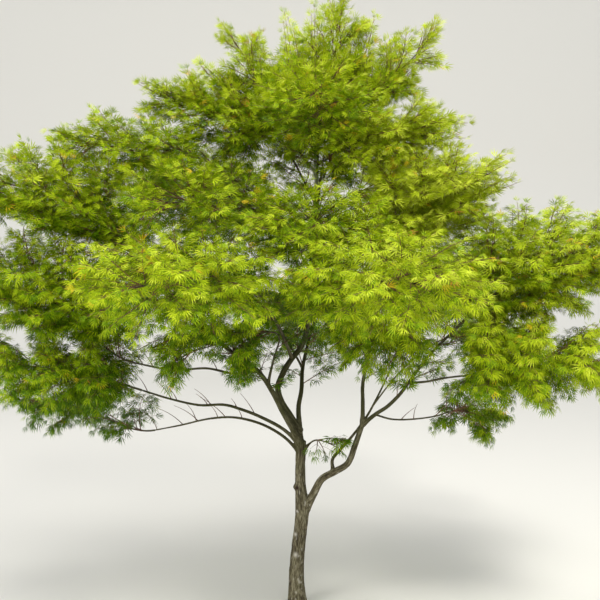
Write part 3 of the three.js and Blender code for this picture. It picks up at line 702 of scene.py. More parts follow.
# the thick limbs' tubes are joined to one skin and smoothed, each point drawn towards the middle of its
# neighbours. Then fissures sink in, knots and marks stand out, and the fields for the finish are laid
def buildWood():
    parts = [limbTube(name, woodShape["stations"], woodShape["sides"]) for name in woodShape["thick"]]
    made = meshObject("wood", *joined(parts), [bark])
    modifierApplied(made, "REMESH", mode="VOXEL", voxel_size=woodShape["voxel"] * mm, use_smooth_shade=True)
    mesh = made.data
    points, edges = readPoints(mesh), readEdges(mesh)
    degree = np.bincount(edges.ravel(), minlength=len(points))[:, None]
    keep = woodShape["keep"]
    for _ in range(woodShape["smoothing"]):
        total = np.zeros_like(points)
        for axis in range(3):
            total[:, axis] = (np.bincount(edges[:, 0], points[edges[:, 1], axis], len(points))
                              + np.bincount(edges[:, 1], points[edges[:, 0], axis], len(points)))
        points = points * keep + (1 - keep) * total / degree
    places, out, girth = barkPlaces(points, woodShape["thick"])
    ridges = 1 - np.abs(2 * noise(places / np.array(woodShape["fissure"]), 3) - 1)
    knots = noise(places / np.array(woodShape["knot"]), 8)
    relief = woodShape["relief"] * np.clip(girth / woodShape["usualGirth"], *woodShape["reliefLimits"])
    raised = woodShape["knotHeight"] * (knots - 0.5) - woodShape["fissureDepth"] * (ridges ** 2 - 0.5)
    points += out * (relief * raised)[:, None]
    scarAndShade, flecks = np.zeros(len(points)), np.zeros(len(points))
    for mark in barkMarks.values():
        near = bell(points, mark["at"], mark["spread"])
        points += out * (mark["out"] * near)[:, None]
        # each mark's dark brown: on the scar, and painted shade at the fork
        inScarAndShade = np.clip(near * woodShape["scarAndShadeEdge"], 0, 1)
        scarAndShade = np.maximum(scarAndShade, inScarAndShade * mark.get("scarAndShade", 0))
        flecks = np.maximum(flecks, near * mark.get("pale", 0))
    points[:, 2] = np.maximum(points[:, 2], 0)
    mesh.vertices.foreach_set("co", (points * mm).astype(np.float32).ravel())
    mesh.update()
    damp = noise(points / mossAndShadeHabit["patch"], 5)
    scattered = noise(places / np.array(woodShape["fleck"]), 12) - fleckHabit["above"]
    scattered = np.clip(scattered * fleckHabit["edge"], 0, fleckHabit["most"])
    scattered = scattered * (points[:, 2] < fleckHabit["below"])
    pale = np.maximum(paleOf(points, damp), np.maximum(flecks, scattered))
    pointAttribute(made, "barkPlace", "FLOAT_VECTOR", places / np.array(woodShape["grain"]))
    pointAttribute(made, "mossAndShade", "FLOAT", mossAndShadeOf(points, damp))
    pointAttribute(made, "pale", "FLOAT", pale)
    pointAttribute(made, "scarAndShade", "FLOAT", scarAndShade)
    return made


wood = buildWood()
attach(wood, "root")
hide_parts(*woodShape["thick"])
print("wood:", len(wood.data.polygons), "faces")


# Thinner boughs, and the stems inside the masses, which thin from their bough's tip to their own
boughShape = {"stations": 40, "sides": 10, "stemStations": 26, "stemSides": 8, "stemTip": 1.9, "taper": 0.9,
              "wander": (6, 6, 22), "relief": 0.18}


# plain tubes whose skin wanders in and out by a share of the girth, by noise along the bough
def buildBoughs():
    thin = [name for name in limbs if name not in woodShape["thick"]]
    parts = [limbTube(name, boughShape["stations"], boughShape["sides"]) for name in thin]
    t = np.linspace(0, 1, boughShape["stemStations"])
    tip = boughShape["stemTip"]
    for name, line in stems.items():
        start = float(limbs[masses[name][0]]["radii"][-1])
        radii = tip + (start - tip) * (1 - t) ** boughShape["taper"]
        parts.append(tubes(placeOn(line, t)[None], radii[None], boughShape["stemSides"]))
    points, faces = joined(parts)
    places, out, girth = barkPlaces(points, thin + list(stems))
    wander = noise(places / np.array(boughShape["wander"]), 4) - 0.5
    points = points + out * (wander * boughShape["relief"] * girth)[:, None]
    made = meshObject("boughs", points, faces, [bark])
    damp = noise(points / mossAndShadeHabit["patch"], 5)
    pointAttribute(made, "barkPlace", "FLOAT_VECTOR", places / np.array(woodShape["grain"]))
    # the boughs take a little of the dark green, as moss and painted shade under the crown
    pointAttribute(made, "mossAndShade", "FLOAT", ranged(mossAndShadeHabit["boughs"], damp))
    pointAttribute(made, "pale", "FLOAT", paleOf(points, damp))
    pointAttribute(made, "scarAndShade", "FLOAT", np.zeros(len(points)))
    return made, thin


boughs, thinLimbs = buildBoughs()
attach(boughs, "root")
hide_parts(*thinLimbs)
print("boughs:", len(boughs.data.polygons), "faces")


# Twigs grow from each stem by the rule of the solids: twig k ends near the skin of its mass, a golden
# turn round the stem from the last, and leaves the stem where it sets off nearest the usual angle.
# Between two of the solids' twigs stand finer ones by the same rule. Twigs of a level mass gather in
# a few layers, where an upright mass's twigs fan.
twigHabit = {"finer": 5, "jitter": 0.4, "firstReach": -0.6, "lastReach": 0.99, "girthReach": 0.9,
             "blunt": 2.8, "cosine": 0.62, "shortest": 0.8, "longest": 1.07, "layers": 1.4, "layered": 0.1,
             "level": 0.1, "forward": 0.12, "droop": 0.16, "rise": 0.05, "roots": 16, "points": 9,
             "root": 2.2, "tip": 0.7, "sides": 4}
finerHere = {"leaves_top_back": 7, "leaves_high_left": 6, "leaves_upper_back_left": 7, "leaves_back_left": 6,
             "leaves_right": 6, "leaves_low_right": 7, "leaves_left": 6, "leaves_low_left": 6,
             "leaves_front_centre": 6, "leaves_fork": 3}
hangHabit = {"none": 1650, "over": 550}


# how much a mass's twigs and leaves hang: not at all high in the crown, fully in its lowest tiers
def hangOf(name):
    return float(np.clip((hangHabit["none"] - masses[name][1][2]) / hangHabit["over"], 0, 1))


# one mass's twigs. Each ends at a share of the mass's length, and round it at the girth that a blunt
# ellipse has there, and bends once, ahead of the straight way
def twigsOf(name, order):
    _, middle, half, _, rise, count = masses[name]
    along, across, up = axesOf(name)
    stem = stems[name]
    finer = finerHere.get(name, twigHabit["finer"])
    hang = hangOf(name)
    flatness = math.cos(math.radians(rise)) ** 2
    k = np.arange(count * finer) / finer
    share = (k + twigHabit["jitter"] + twigHabit["jitter"] * chance(order, k)) / count
    first, last = twigHabit["firstReach"], twigHabit["lastReach"]
    reach = np.clip(first + (last - first) * share, -1, last)
    girth = twigHabit["girthReach"] * np.sqrt(1 - np.abs(reach) ** twigHabit["blunt"])
    around = k * goldenTurn + order
    lift = np.sin(around)
    layer = np.round(lift * twigHabit["layers"]) / twigHabit["layers"]
    lift = lift + (layer - lift) * twigHabit["layered"] * flatness
    spread = twigHabit["shortest"] + (twigHabit["longest"] - twigHabit["shortest"]) * chance(order + 17, k)
    end = (np.array(middle) + along * (half[0] * reach * spread)[:, None]
           + across * (half[1] * girth * np.cos(around) * spread)[:, None]
           + up * (half[2] * girth * lift)[:, None])
    places = np.arange(2, twigHabit["roots"]) / twigHabit["roots"]
    roots, ahead = placeOn(stem, places), aheadOn(stem, places)
    cosine = np.einsum("krj,rj->kr", unit(end[:, None] - roots[None]), ahead)
    best = np.argmin(np.abs(cosine - twigHabit["cosine"]), axis=1)
    root = placeOn(stem, places[best] + (chance(order + 31, k) - 0.5) / twigHabit["roots"])
    length = np.linalg.norm(end - root, axis=1)[:, None]
    control = (root + end) / 2 + ahead[best] * twigHabit["forward"] * length
    control[:, 2] += twigHabit["level"] * flatness * (end - root)[:, 2]
    t = np.linspace(0, 1, twigHabit["points"])
    lines = drawnTo([root, control, end], t)
    bow = twigHabit["droop"] * hang - twigHabit["rise"] * (1 - hang)
    lines[:, :, 2] += bow * flatness * length * (t - t ** 3)[None]
    return lines, length[:, 0]


# Sprigs stand along the boughs inside the crown, from a height up. "shorter" is for the lowest ones
sprigHabit = {"spacing": 34, "from": 0.3, "long": 210, "lean": 0.55, "level": 0.45, "droop": 0.1,
              "bulge": (0.55, 0.45), "uneven": (0.7, 0.6), "lowest": 1020, "shorter": 0.7, "shorterOver": 60,
              "lower": {"leader": 900, "bough_centre": 880, "bough_left_upright": 860,
                        "bough_right_upright": 890, "bough_right_outer": 880}}


# a bough's sprigs: a golden turn round it from each other and leaning ahead, longest where the bough is
# half way out. None stand on the pale stretch
def sprigsOf(name, order):
    line = limbs[name]["line"]
    count = int(lengthOf(line) * (1 - sprigHabit["from"]) / sprigHabit["spacing"])
    k = np.arange(count)
    share = sprigHabit["from"] + (1 - sprigHabit["from"]) * (k + chance(order, k)) / count
    root, ahead = placeOn(line, share), aheadOn(line, share)
    flat = unit(np.cross(skyward, ahead))
    rise = np.cross(ahead, flat)
    around = (k * goldenTurn + order)[:, None]
    out = flat * np.cos(around) + rise * np.sin(around) * sprigHabit["level"]
    way = unit(out + ahead * sprigHabit["lean"])
    length = (sprigHabit["long"] * ranged(sprigHabit["bulge"], np.sin(math.pi * share))
              * ranged(sprigHabit["uneven"], chance(order + 3, k)))
    low = root[:, 2] < sprigHabit["lowest"] + sprigHabit["shorterOver"]
    length = length * np.where(low, sprigHabit["shorter"], 1.0)
    t = np.linspace(0, 1, twigHabit["points"])[None, :, None]
    lines = root[:, None] + way[:, None] * length[:, None, None] * t
    lines[:, :, 2] += sprigHabit["droop"] * length[:, None] * (t - t ** 2)[:, :, 0]
    bare = (name == paleStretch["limb"]) & (root[:, 2] > paleStretch["from"])
    high = (root[:, 2] > sprigHabit["lower"].get(name, sprigHabit["lowest"])) & ~bare
    return lines[high], length[high]


# Plumes: long twigs with short side shoots that give the crown's top its points, and two that fill the
# crown beside the leader. Each leaves a mass's stem at a share of its length for a tip of its own, with
# lesser twigs beside it: the share that each reaches, and how far it stands aside and behind
plumes = {
    "narrow": 0.5, "outFirst": 0.66, "upFirst": 0.36, "wander": 36,
    "beside": [(1.0, 0, 0), (0.97, 9, 8), (0.93, -12, -8), (0.87, 20, -14), (0.8, -24, 14),
               (0.7, 34, -22), (0.64, -36, 20)],
    "grown": [
        ("leaves_top_left", 0.35, (-165, 40, 2300)), ("leaves_top", 0.02, (-52, -30, 2392)),
        ("leaves_top", 0.1, (66, 20, 2432)), ("leaves_top", 0.16, (160, -60, 2345)),
        ("leaves_top", 0.2, (306, 10, 2385)), ("leaves_top_right", 0.15, (412, -60, 2262)),
        ("leaves_top_right", 0.3, (476, 60, 2212)), ("leaves_top_left", 0.25, (-385, -70, 2185)),
        ("leaves_top_left", 0.15, (-10, 90, 2330)), ("leaves_top", 0.06, (215, 110, 2330)),
        ("leaves_high_left", 0.2, (-225, -90, 1775)), ("leaves_high_right", 0.05, (225, -50, 1690)),
    ]}


# a plume's twigs: each runs outwards first and then turns up to its tip, and sways once on the way
def plumeLines():
    each = len(plumes["beside"])
    root = np.array([placeOn(stems[mass], share) for mass, share, _ in plumes["grown"]])
    tip = np.array([tip for _, _, tip in plumes["grown"]], dtype=float)
    root, tip = root.repeat(each, axis=0), tip.repeat(each, axis=0)
    reach, aside, behind = np.tile(np.array(plumes["beside"]), (len(plumes["grown"]), 1)).T
    tip = root + (tip - root) * reach[:, None] + np.column_stack([aside, behind, 0 * aside])
    turn = root + (tip - root) * np.array([plumes["outFirst"], plumes["outFirst"], plumes["upFirst"]])
    t = np.linspace(0, 1, twigHabit["points"])
    lines = drawnTo([root, turn, tip], t)
    k = np.arange(len(lines))[:, None]
    lines[:, :, 0] += plumes["wander"] * (chance(5, k) - 0.5) * np.sin(2 * math.pi * t)
    return lines, np.linalg.norm(np.diff(lines, axis=1), axis=2).sum(axis=1)


# Side shoots stand in pairs along a twig and shorten towards its tip, so each twig is a pointed plume.
# The twig's own last stretch, from "tipFrom" on, bears leaves as a shoot does. Angles are in degrees.
shootHabit = {"pairs": 8, "first": 0.16, "last": 0.8, "shift": 0.06, "spacing": 48, "fewest": 0.3,
              "turn": 42, "turnSpread": 22, "roll": 60, "long": 0.42, "least": 14, "shortest": 32,
              "droop": 0.26, "rise": 0.08, "points": 3, "root": 0.85, "tip": 0.4, "sides": 3,
              "uneven": (0.7, 0.6), "within": (0.05, 0.985), "tipFrom": 0.5}


# where a share of each line lies: the lower of the two samples round it, and how far it is past that one
def between(at, samplesOfLine):
    position = at * (samplesOfLine - 1)
    low = np.minimum(position.astype(int), samplesOfLine - 2)
    return low, position - low


# the side shoots of all twigs at once, with the share of its twig where each stands, and the twigs' tips.
# A shoot sets off at its turn from the twig, rolled about it, and bends down or up by the square of the
# way along. The shorter the twig for its pairs, the fewer are kept
def shootsOf(lines, lengths, up, seed, hang, narrow):
    pairs = shootHabit["pairs"]
    count = len(lines)
    u = np.linspace(shootHabit["first"], shootHabit["last"], pairs)[None, :, None]
    side = np.array([-1.0, 1.0])[None, None, :]
    ids = np.arange(count * pairs * 2).reshape(count, pairs, 2)
    shift, rolled, turned, stretched = (chance(seed + draw, ids) for draw in (11, 12, 13, 14))
    at = np.clip(u + (shift - 0.5) * shootHabit["shift"], *shootHabit["within"])
    low, part = between(at, lines.shape[1])
    part = part[..., None]
    twig = np.arange(count)[:, None, None]
    root = lines[twig, low] * (1 - part) + lines[twig, low + 1] * part
    ahead = unit(lines[twig, low + 1] - lines[twig, low])
    flat = unit(np.cross(up, ahead))
    rise = np.cross(ahead, flat)
    roll = np.radians((rolled - 0.5) * shootHabit["roll"])[..., None]
    sideways = side[..., None] * flat * np.cos(roll) + rise * np.sin(roll)
    turn = np.radians(shootHabit["turn"] + (turned - 0.5) * shootHabit["turnSpread"])[..., None]
    way = unit(ahead * np.cos(turn) + sideways * np.sin(turn))
    twigLength = lengths[:, None, None]
    length = shootHabit["long"] * narrow * twigLength * (1 - at) * ranged(shootHabit["uneven"], stretched)
    length = length + shootHabit["least"]
    kept = np.clip(twigLength / pairs / shootHabit["spacing"], shootHabit["fewest"], 1)
    keep = chance(seed + 15, ids) < kept
    keep &= length > shootHabit["shortest"]
    picked = keep.ravel()
    root, way, length = root.reshape(-1, 3)[picked], way.reshape(-1, 3)[picked], length.ravel()[picked]
    t = np.linspace(0, 1, shootHabit["points"])
    shoots = root[:, None] + way[:, None] * length[:, None, None] * t[None, :, None]
    shoots[:, :, 2] += (shootHabit["rise"] - shootHabit["droop"] * hang) * length[:, None] * t[None] ** 2
    share = np.broadcast_to(at, keep.shape).ravel()[picked]
    bare = shootHabit["tipFrom"]
    low, part = between(bare + (1 - bare) * t, lines.shape[1])
    part = part[None, :, None]
    tips = lines[:, low] * (1 - part) + lines[:, low + 1] * part
    return shoots, length, share, tips, lengths * (1 - bare)


# A leaf is a fan of narrow lobes: the first "twoFaced" of them have two faces each, from the stalk's end
# to the widest place and on to the drooping point, and the others have one. Each of the three fans
# gives its lobes as a turn in degrees and a length. Widths and lengths are in millimetres
leafHabit = {"spacing": 27, "most": 8, "firstAt": 0.72, "stalk": 12, "lobe": 47, "width": 4.2,
             "turn": 50, "lastTurn": 20.0, "turnSpread": 26, "tilt": 30.0, "tiltSpread": 44, "roll": 120,
             "sag": 0.42, "spread": 0.3, "sink": 0.15, "tipSmaller": 0.3,
             "stalks": (0.7, 0.6), "sags": (0.3, 1.1), "sizes": (0.7, 0.42),
             "hangCurl": 0.6, "upCurl": 0.4, "curlSpread": 1.5,
             "shoulder": 0.5, "shoulderDrop": 0.06, "pointDrop": 0.3, "outerShoulder": 0.45,
             "outerDrop": 0.08, "twoFaced": 3,
             "fans": (((0, 1.0), (20, 0.94), (-22, 0.9), (44, 0.72), (-42, 0.76)),
                      ((-5, 1.0), (15, 0.88), (-27, 0.96), (38, 0.78), (-50, 0.64)),
                      ((4, 0.96), (27, 1.0), (-16, 0.84), (54, 0.62), (-36, 0.82)))}


# the leaves of all shoots at once: in pairs along each, every other pair part of a turn round it. A
# leaf's stalk sets off at its turn, its lobes go on from there and droop, and its face rolls about them
def leavesOf(shoots, lengths, up, seed, hang):
    most = leafHabit["most"]
    number = np.clip(np.round(lengths / leafHabit["spacing"]), 1, most).astype(int)[:, None]
    place = np.arange(most)[None]
    at = np.clip((place + leafHabit["firstAt"]) / number, 0, 1)
    ids = np.arange(len(shoots) * most * 2).reshape(len(shoots), most, 2)
    low, part = between(at, shoots.shape[1])
    part = part[..., None]
    shoot = np.arange(len(shoots))[:, None]
    root = (shoots[shoot, low] * (1 - part) + shoots[shoot, low + 1] * part)[:, :, None]
    ahead = unit(shoots[shoot, low + 1] - shoots[shoot, low])
    flat = unit(np.cross(up, ahead))
    rise = np.cross(ahead, flat)
    ahead, flat, rise = ahead[:, :, None], flat[:, :, None], rise[:, :, None]
    draws = [chance(seed + draw, ids) for draw in range(21, 28)]
    tilted, turned, stalked, sagged, rolled, sized, fanned = draws
    side = np.array([-1.0, 1.0])[None, None, :, None]
    tilt = np.radians(np.where(place % 2, leafHabit["tilt"], 0.0))[..., None, None]
    tilt = tilt + np.radians((tilted - 0.5) * leafHabit["tiltSpread"])[..., None]
    sideways = side * (flat * np.cos(tilt) + rise * np.sin(tilt))
    last = (place == number - 1)[..., None]
    turn = np.where(last, leafHabit["lastTurn"], leafHabit["turn"]) + (turned - 0.5) * leafHabit["turnSpread"]
    turn = np.radians(turn)[..., None]
    stalkWay = unit(ahead * np.cos(turn) + sideways * np.sin(turn) - skyward * leafHabit["sink"] * hang)
    foot = root + stalkWay * (leafHabit["stalk"] * ranged(leafHabit["stalks"], stalked))[..., None]
    droop = leafHabit["sag"] * hang * ranged(leafHabit["sags"], sagged)
    droop = droop + leafHabit["spread"] * (2 * sagged - 1)
    forward = unit(stalkWay - skyward * droop[..., None])
    lean = np.einsum("...j,j->...", forward, up)[..., None]
    level = unit(np.broadcast_to(up, forward.shape) - forward * lean)
    roll = np.radians((rolled - 0.5) * leafHabit["roll"])[..., None]
    face = level * np.cos(roll) + np.cross(forward, level) * np.sin(roll)
    across = np.cross(forward, face)
    size = leafHabit["lobe"] * ranged(leafHabit["sizes"], sized)
    size = size * (1 - leafHabit["tipSmaller"] * at[:, :, None] ** 2)
    curled = leafHabit["curlSpread"] * chance(seed + 29, ids)
    curl = leafHabit["hangCurl"] * hang - leafHabit["upCurl"] + curled
    fan = np.floor(fanned * len(leafHabit["fans"])).astype(int)
    kept = np.broadcast_to((place < number)[..., None], ids.shape)
    leaves = {"root": np.broadcast_to(root, foot.shape), "foot": foot, "forward": forward, "across": across,
              "face": face, "size": size, "shoot": np.broadcast_to(shoot[..., None], ids.shape), "fan": fan,
              "curl": curl}
    return {key: values[kept] for key, values in leaves.items()}


# the corners of each fan and the faces that join them: the stalk's end, then for each lobe its shoulders
# and its point. A point lies at the lobe's length along its turn. Its shoulders stand half a width to each
# side of that line, or the only one a whole width to one side
def leafFans():
    fans = []
    half = leafHabit["width"] / leafHabit["lobe"] / 2
    for lobes in leafHabit["fans"]:
        corners = [(0.0, 0.0, 0.0)]
        for order, (turn, long) in enumerate(lobes):
            a = math.radians(turn)
            out, side = np.array([math.sin(a), math.cos(a), 0]), np.array([math.cos(a), -math.sin(a), 0])
            point = out * long + np.array([0, 0, -leafHabit["pointDrop"] * long])
            if order < leafHabit["twoFaced"]:
                drop = np.array([0, 0, -leafHabit["shoulderDrop"] * long])
                shoulder = out * leafHabit["shoulder"] * long + drop
                corners += [shoulder - side * half, shoulder + side * half, point]
            else:
                drop = np.array([0, 0, -leafHabit["outerDrop"] * long])
                corners += [out * leafHabit["outerShoulder"] * long + side * half * 2 + drop, point]
        fans.append(corners)
    faces = []
    for order in range(leafHabit["twoFaced"]):
        left = 1 + 3 * order
        faces += [(0, left, left + 1), (left, left + 2, left + 1)]
    for order in range(len(leafHabit["fans"][0]) - leafHabit["twoFaced"]):
        shoulder = 1 + 3 * leafHabit["twoFaced"] + 2 * order
        faces.append((0, shoulder + 1, shoulder))
    return np.array(fans, dtype=float), np.array(faces)


crownReach = {"least": (-1360, -1244, 0), "most": (1361, 1270, 2515)}


# the leaves whose tips stand within the crown's reach
def withinReach(leaves):
    tip = leaves["foot"] + leaves["forward"] * leaves["size"][:, None]
    keep = ((tip > crownReach["least"]) & (tip < crownReach["most"])).all(axis=1)
    return {key: values[keep] for key, values in leaves.items()}


# a leaf's corners: its fan's, times its size, carried by its own three axes
def leafMesh(leaves):
    fans, faces = leafFans()
    corners = fans[leaves["fan"]] * leaves["size"][:, None, None]
    corners[:, :, 2] *= leaves["curl"][:, None]
    points = (leaves["foot"][:, None] + leaves["across"][:, None] * corners[:, :, 0:1]
              + leaves["forward"][:, None] * corners[:, :, 1:2]
              + leaves["face"][:, None] * corners[:, :, 2:3])
    index = faces[None] + (np.arange(len(points)) * fans.shape[1])[:, None, None]
    return points.reshape(-1, 3), index.reshape(-1, 3)


# How bright a spray's leaves are painted. Its height in its mass, how far out in the crown it stands, how far
# it faces the sun and how low it hangs add or take painted light and shade; "inner" stands for the height of
# sprigs and plumes, which have no mass, and darkens them as painted shade. The share of its twig, for younger
# growth towards the tip, and chance add or take too. "lift" is painted light for masses left too dark by
# their places, and painted shade for those at the top
lightHabit = {"plain": 0.34, "height": 0.1, "outward": 0.26, "sunward": 0.2, "along": 0.12, "low": -0.14,
              "chance": 0.22, "sun": (0.5, -0.45, 0.74), "middle": (0, -60, 1350), "half": (1250, 1150, 900),
              "usual": 0.6, "lowBelow": 1250, "lowOver": 500, "inner": -0.4,
              "lift": {"leaves_upper_right": 0.3, "leaves_upper_back_right": 0.24, "leaves_high_right": 0.13,
                       "leaves_top": -0.08, "leaves_top_front": -0.11, "leaves_top_left": -0.07}}


# the sum of the shares above, painted light and shade with younger growth and chance, for the tip of each
# spray
def paintedLightAndAgeOf(places, share, seed, name):
    height = lightHabit["inner"]
    if name in masses:
        height = (places[:, 2] - masses[name][1][2]) / masses[name][2][2]
    fromMiddle = (places - np.array(lightHabit["middle"])) / np.array(lightHabit["half"])
    outward = np.linalg.norm(fromMiddle, axis=1) - lightHabit["usual"]
    sunward = fromMiddle @ np.array(lightHabit["sun"])
    low = np.clip((lightHabit["lowBelow"] - places[:, 2]) / lightHabit["lowOver"], 0, 1)
    pick = chance(seed + 41, np.arange(len(places)))
    return (lightHabit["plain"] + lightHabit["height"] * height + lightHabit["outward"] * outward
            + lightHabit["sunward"] * sunward + lightHabit["along"] * (share - 0.5)
            + lightHabit["low"] * low + lightHabit["chance"] * (pick - 0.5)
            + lightHabit["lift"].get(name, 0))


# Tints by the painted light and shade, with younger growth, above which each begins: from dark to sunlitPale
# each step is the leaf green painted lighter. "points" is what a lobe's outer face gains and its inner one
# loses.
# On faces painted bright a few sprays' leaves, by chance, are gold or copper
tintDeal = {"steps": [("dark", -9), ("shade", 0.1), ("deep", 0.22), ("middle", 0.34), ("freshAndLit", 0.46),
                      ("sunlit", 0.6), ("sunlitPale", 0.8)],
            "points": 0.09, "leafChance": 0.5, "leafRare": 0.5, "rareAbove": 0.44,
            "rare": [("gold", 1.36), ("copper", 1.45)]}


# a tint for each face: the last step that its spray's painted light and shade, with younger growth, and its
# leaf's own chance reach
def tintsOf(paintedLightAndAge, spray, seed):
    names = list(leafTints)
    leaf = np.arange(len(spray))
    lift = [-tintDeal["points"], tintDeal["points"]] * leafHabit["twoFaced"]
    lift += [0.0] * (len(leafHabit["fans"][0]) - leafHabit["twoFaced"])
    own = tintDeal["leafChance"] * (chance(seed + 43, leaf) - 0.5)
    light = (paintedLightAndAge[spray] + own)[:, None] + np.array(lift)
    tint = np.zeros(light.shape, dtype=int)
    for step, above in tintDeal["steps"]:
        tint[light > above] = names.index(step)
    rare = (chance(seed + 42, spray) + tintDeal["leafRare"] * chance(seed + 44, leaf))[:, None]
    for step, above in tintDeal["rare"]:
        tint[(rare > above) & (light > tintDeal["rareAbove"])] = names.index(step)
    return tint.ravel()


# which places stand within a mass's ellipsoid, taken a little larger
def insideMass(name, places, larger=1.25):
    along, across, up = axesOf(name)
    middle, half = masses[name][1:3]
    away = places - np.array(middle)
    parts = [(away @ axis / size) ** 2 for axis, size in zip((along, across, up), half)]
    return parts[0] + parts[1] + parts[2] < larger


tiers = {
    "leavesTop": ["leaves_top", "leaves_top_left", "leaves_top_right", "leaves_top_back", "leaves_top_front"],
    "leavesHigh": ["leaves_high_left", "leaves_high_right", "leaves_high_far_left", "leaves_inner_left"],
    "leavesUpper": ["leaves_upper_left", "leaves_front_centre", "leaves_upper_right"],
    "leavesUpperBack": ["leaves_upper_back_left", "leaves_upper_back_right"],
    "leavesFront": ["leaves_front_left", "leaves_front_right"],
    "leavesSides": ["leaves_right", "leaves_left"],
    "leavesBack": ["leaves_back_left", "leaves_back_right"],
    "leavesLow": ["leaves_low_left", "leaves_low_right", "leaves_inner_right", "leaves_low_hanging",
                  "leaves_inner_low_left", "leaves_fork"],
    "leavesLowBack": ["leaves_low_back_left", "leaves_low_back", "leaves_low_back_right"],
    "leavesInner": [name for name in limbs if name in hiddenBoughs or name in sprigHabit["lower"]],
}
tiers["leavesInner"].append("plumes")
twigParts, shootParts, stalkParts = [], [], []
stalkWidth = 0.9
bearerHabit = {"skyward": 0.6, "sprigHang": 0.3, "limbSeed": 41, "plumeSeed": 97,
               "plumeFace": (0.0, -0.8, 0.6)}
seedSteps = {"shoots": 3.7, "leaves": 5.3, "tints": 2.1}


# what bears a mass's, a bough's or the plumes' leaves: its seed, the way that leaves face, how much they
# hang, how narrow shoots stand, and the twigs with their lengths
def bearersOf(name):
    if name in masses:
        seed = list(masses).index(name) + 1
        up = unit(axesOf(name)[2] + skyward * bearerHabit["skyward"])
        return seed, up, hangOf(name), 1.0, twigsOf(name, seed)
    if name in limbs:
        seed = list(limbs).index(name) + bearerHabit["limbSeed"]
        return seed, skyward, bearerHabit["sprigHang"], 1.0, sprigsOf(name, seed)
    return bearerHabit["plumeSeed"], np.array(bearerHabit["plumeFace"]), 0, plumes["narrow"], plumeLines()


# one piece of leaves to each tier. Its twigs, shoots and stalks are kept for pieces of their own
def growTier(tier, names):
    points, faces, tints, offset = [], [], [], 0
    for name in names:
        seed, up, hang, narrow, (lines, lengths) = bearersOf(name)
        if not len(lines):
            continue
        grown = shootsOf(lines, lengths, up, seed * seedSteps["shoots"], hang, narrow)
        shoots, shootLengths, share, tips, tipLengths = grown
        if name in masses:
            inside = insideMass(name, shoots[:, -1])
            shoots, shootLengths, share = shoots[inside], shootLengths[inside], share[inside]
        twigParts.append(taperedTubes(lines, twigHabit["root"], twigHabit["tip"], twigHabit["sides"]))
        shootParts.append(taperedTubes(shoots, shootHabit["root"], shootHabit["tip"], shootHabit["sides"]))
        bearing = np.concatenate([shoots, tips])
        bearingLengths = np.concatenate([shootLengths, tipLengths])
        leaves = leavesOf(bearing, bearingLengths, up, seed * seedSteps["leaves"], hang)
        leaves = withinReach(leaves)
        shares = np.concatenate([share, np.ones(len(tips))])
        tintSeed = seed * seedSteps["tints"]
        paintedLightAndAge = paintedLightAndAgeOf(bearing[:, -1], shares, tintSeed, name)
        corners, index = leafMesh(leaves)
        points.append(corners)
        faces.append(index + offset)
        tints.append(tintsOf(paintedLightAndAge, leaves["shoot"], tintSeed))
        offset += len(corners)
        side = leaves["across"] * stalkWidth / 2
        stalkParts.append(np.stack([leaves["root"] - side, leaves["root"] + side, leaves["foot"]], axis=1))
    points, faces, tints = np.concatenate(points), np.concatenate(faces), np.concatenate(tints)
    return meshObject(tier, points, [faces], leafFinishes, tints, smooth=False)


for tier, names in tiers.items():
    made = growTier(tier, names)
    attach(made, "root")
    if tier != "leavesInner":
        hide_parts(*names)
    print(tier, "faces:", len(made.data.polygons))


# Bare twigs stand up from the low boughs, bent towards their bough's tip. The ways of their two halves
# are mixed of ahead, aside and up
bareHabit = {"spacing": 62, "from": 0.34, "long": 120, "uneven": (0.4, 0.8), "lowerWay": (0.5, 0.5, 0.9),
             "upperWay": (0.8, 0.3, 0.5), "points": 6, "root": 1.9, "tip": 0.6, "sides": 4, "seed": 61,
             "on": ["bough_left_upper", "bough_left_lower", "bough_left_middle", "bough_right_low",
                    "bough_right_outer", "bough_left_upright", "bough_right_upright"]}


# one bough's bare twigs, to each side by turns: half of the length goes out and up, half ahead and up
def bareTwigsOf(name, seed):
    line = limbs[name]["line"]
    count = int(lengthOf(line) * (1 - bareHabit["from"]) / bareHabit["spacing"])
    k = np.arange(count)
    share = bareHabit["from"] + (1 - bareHabit["from"]) * (k + chance(seed, k)) / count
    root, ahead = placeOn(line, share), aheadOn(line, share)
    flat = unit(np.cross(skyward, ahead)) * np.where(k % 2, 1.0, -1.0)[:, None]
    length = bareHabit["long"] * ranged(bareHabit["uneven"], chance(seed + 5, k))[:, None]
    controls = [root]
    for onward, aside, upward in (bareHabit["lowerWay"], bareHabit["upperWay"]):
        way = unit(ahead * onward + flat * aside + skyward * upward)
        controls.append(controls[-1] + way * length * 0.5)
    return drawnTo(controls, np.linspace(0, 1, bareHabit["points"]))


for order, name in enumerate(bareHabit["on"]):
    lines = bareTwigsOf(name, order + bareHabit["seed"])
    twigParts.append(taperedTubes(lines, bareHabit["root"], bareHabit["tip"], bareHabit["sides"]))
for name, parts in (("twigs", twigParts), ("shoots", shootParts)):
    points, faces = joined(parts)
    made = meshObject(name, points, faces, [twigFinish])
    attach(made, "root")
    print(name, "triangles:", sum(len(some) * (some.shape[1] - 2) for some in faces))
stalkCorners = np.concatenate(stalkParts).reshape(-1, 3)
stalkFaces = np.arange(len(stalkCorners)).reshape(-1, 3)
stalks = meshObject("leafStalks", stalkCorners, [stalkFaces], [twigFinish])
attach(stalks, "root")
print("leaves in all:", len(stalkFaces))


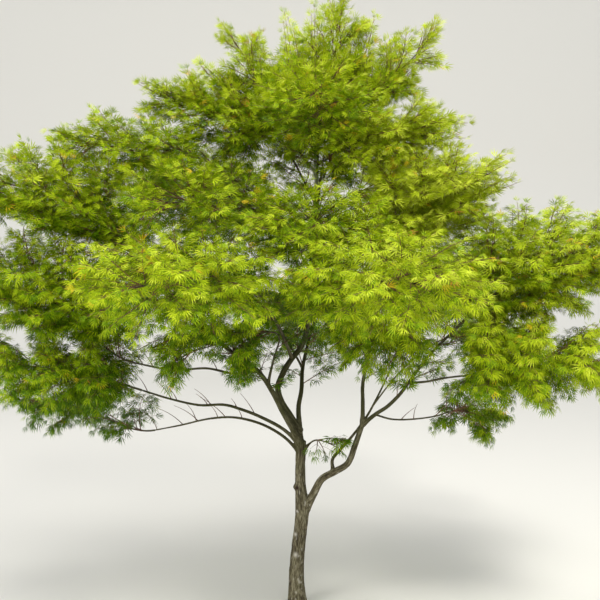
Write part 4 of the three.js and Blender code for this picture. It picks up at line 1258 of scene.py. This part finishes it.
# The studio: a pale floor that curves up behind, a broad key light, a light above and a soft fill
studio = {"floor": (226, 224, 218), "roughness": 0.9, "reach": 24.0, "wide": 24.0, "bend": 2.5, "back": 6.5,
          "high": 7.0, "under": 0.0005, "sky": (0.95, 0.97, 1.0), "skyPower": 0.85}
lights = {
    "key": {"at": (1.9, -4.3, 5.7), "aim": (0, 0, 1.4), "size": 1.6, "power": 250,
            "colour": (1.0, 0.98, 0.9)},
    "top": {"at": (0.6, 0.4, 6.4), "aim": (0, 0, 1.5), "size": 3.5, "power": 130,
            "colour": (1.0, 0.97, 0.9)},
    "fill": {"at": (-4.2, -3.8, 2.4), "aim": (0, 0, 1.2), "size": 3.5, "power": 150,
             "colour": (1.0, 0.98, 0.93)},
}


# the floor: a level line, a quarter circle and an upright, carried across
def buildFloor():
    u = np.linspace(0, math.pi / 2, 24)
    bend, back = studio["bend"], studio["back"]
    curve = np.stack([back + bend * np.sin(u), bend * (1 - np.cos(u))], axis=1)
    profile = np.concatenate([[[-studio["reach"], 0.0]], curve, [[back + bend, studio["high"]]]])
    rows = len(profile)
    across = np.repeat(np.array([-1, 1]) * studio["wide"], rows)
    points = np.column_stack([across, np.tile(profile, (2, 1))])
    points[:, 2] -= studio["under"]
    i = np.arange(rows - 1)
    faces = np.stack([i, i + rows, i + rows + 1, i + 1], axis=1)
    material, shader = newMaterial("floor")
    shader.inputs["Base Color"].default_value = plainRgb(*studio["floor"])
    shader.inputs["Roughness"].default_value = studio["roughness"]
    return meshObject("floor", points / mm, [faces], [material])


# a round area light, turned to look at its aim
def addLight(name, lamp):
    data = bpy.data.lights.new(name, "AREA")
    data.shape = "DISK"
    data.size = lamp["size"]
    data.energy = lamp["power"]
    data.color = lamp["colour"]
    made = bpy.data.objects.new(name, data)
    bpy.context.collection.objects.link(made)
    made.location = lamp["at"]
    toward = np.array(lamp["aim"]) - np.array(lamp["at"])
    tilt = math.atan2(math.hypot(toward[0], toward[1]), -toward[2])
    made.rotation_euler = (tilt, 0, math.atan2(toward[1], toward[0]) - math.pi / 2)


buildFloor()
for name, lamp in lights.items():
    addLight(name, lamp)
world = bpy.data.worlds.new("studio")
bpy.context.scene.world = world
world.use_nodes = True
background = world.node_tree.nodes["Background"]
background.inputs["Color"].default_value = (*studio["sky"], 1.0)
background.inputs["Strength"].default_value = studio["skyPower"]
bpy.context.scene.view_settings.view_transform = "Standard"
bpy.context.scene.view_settings.look = "None"
print("studio set, lights:", len(lights))
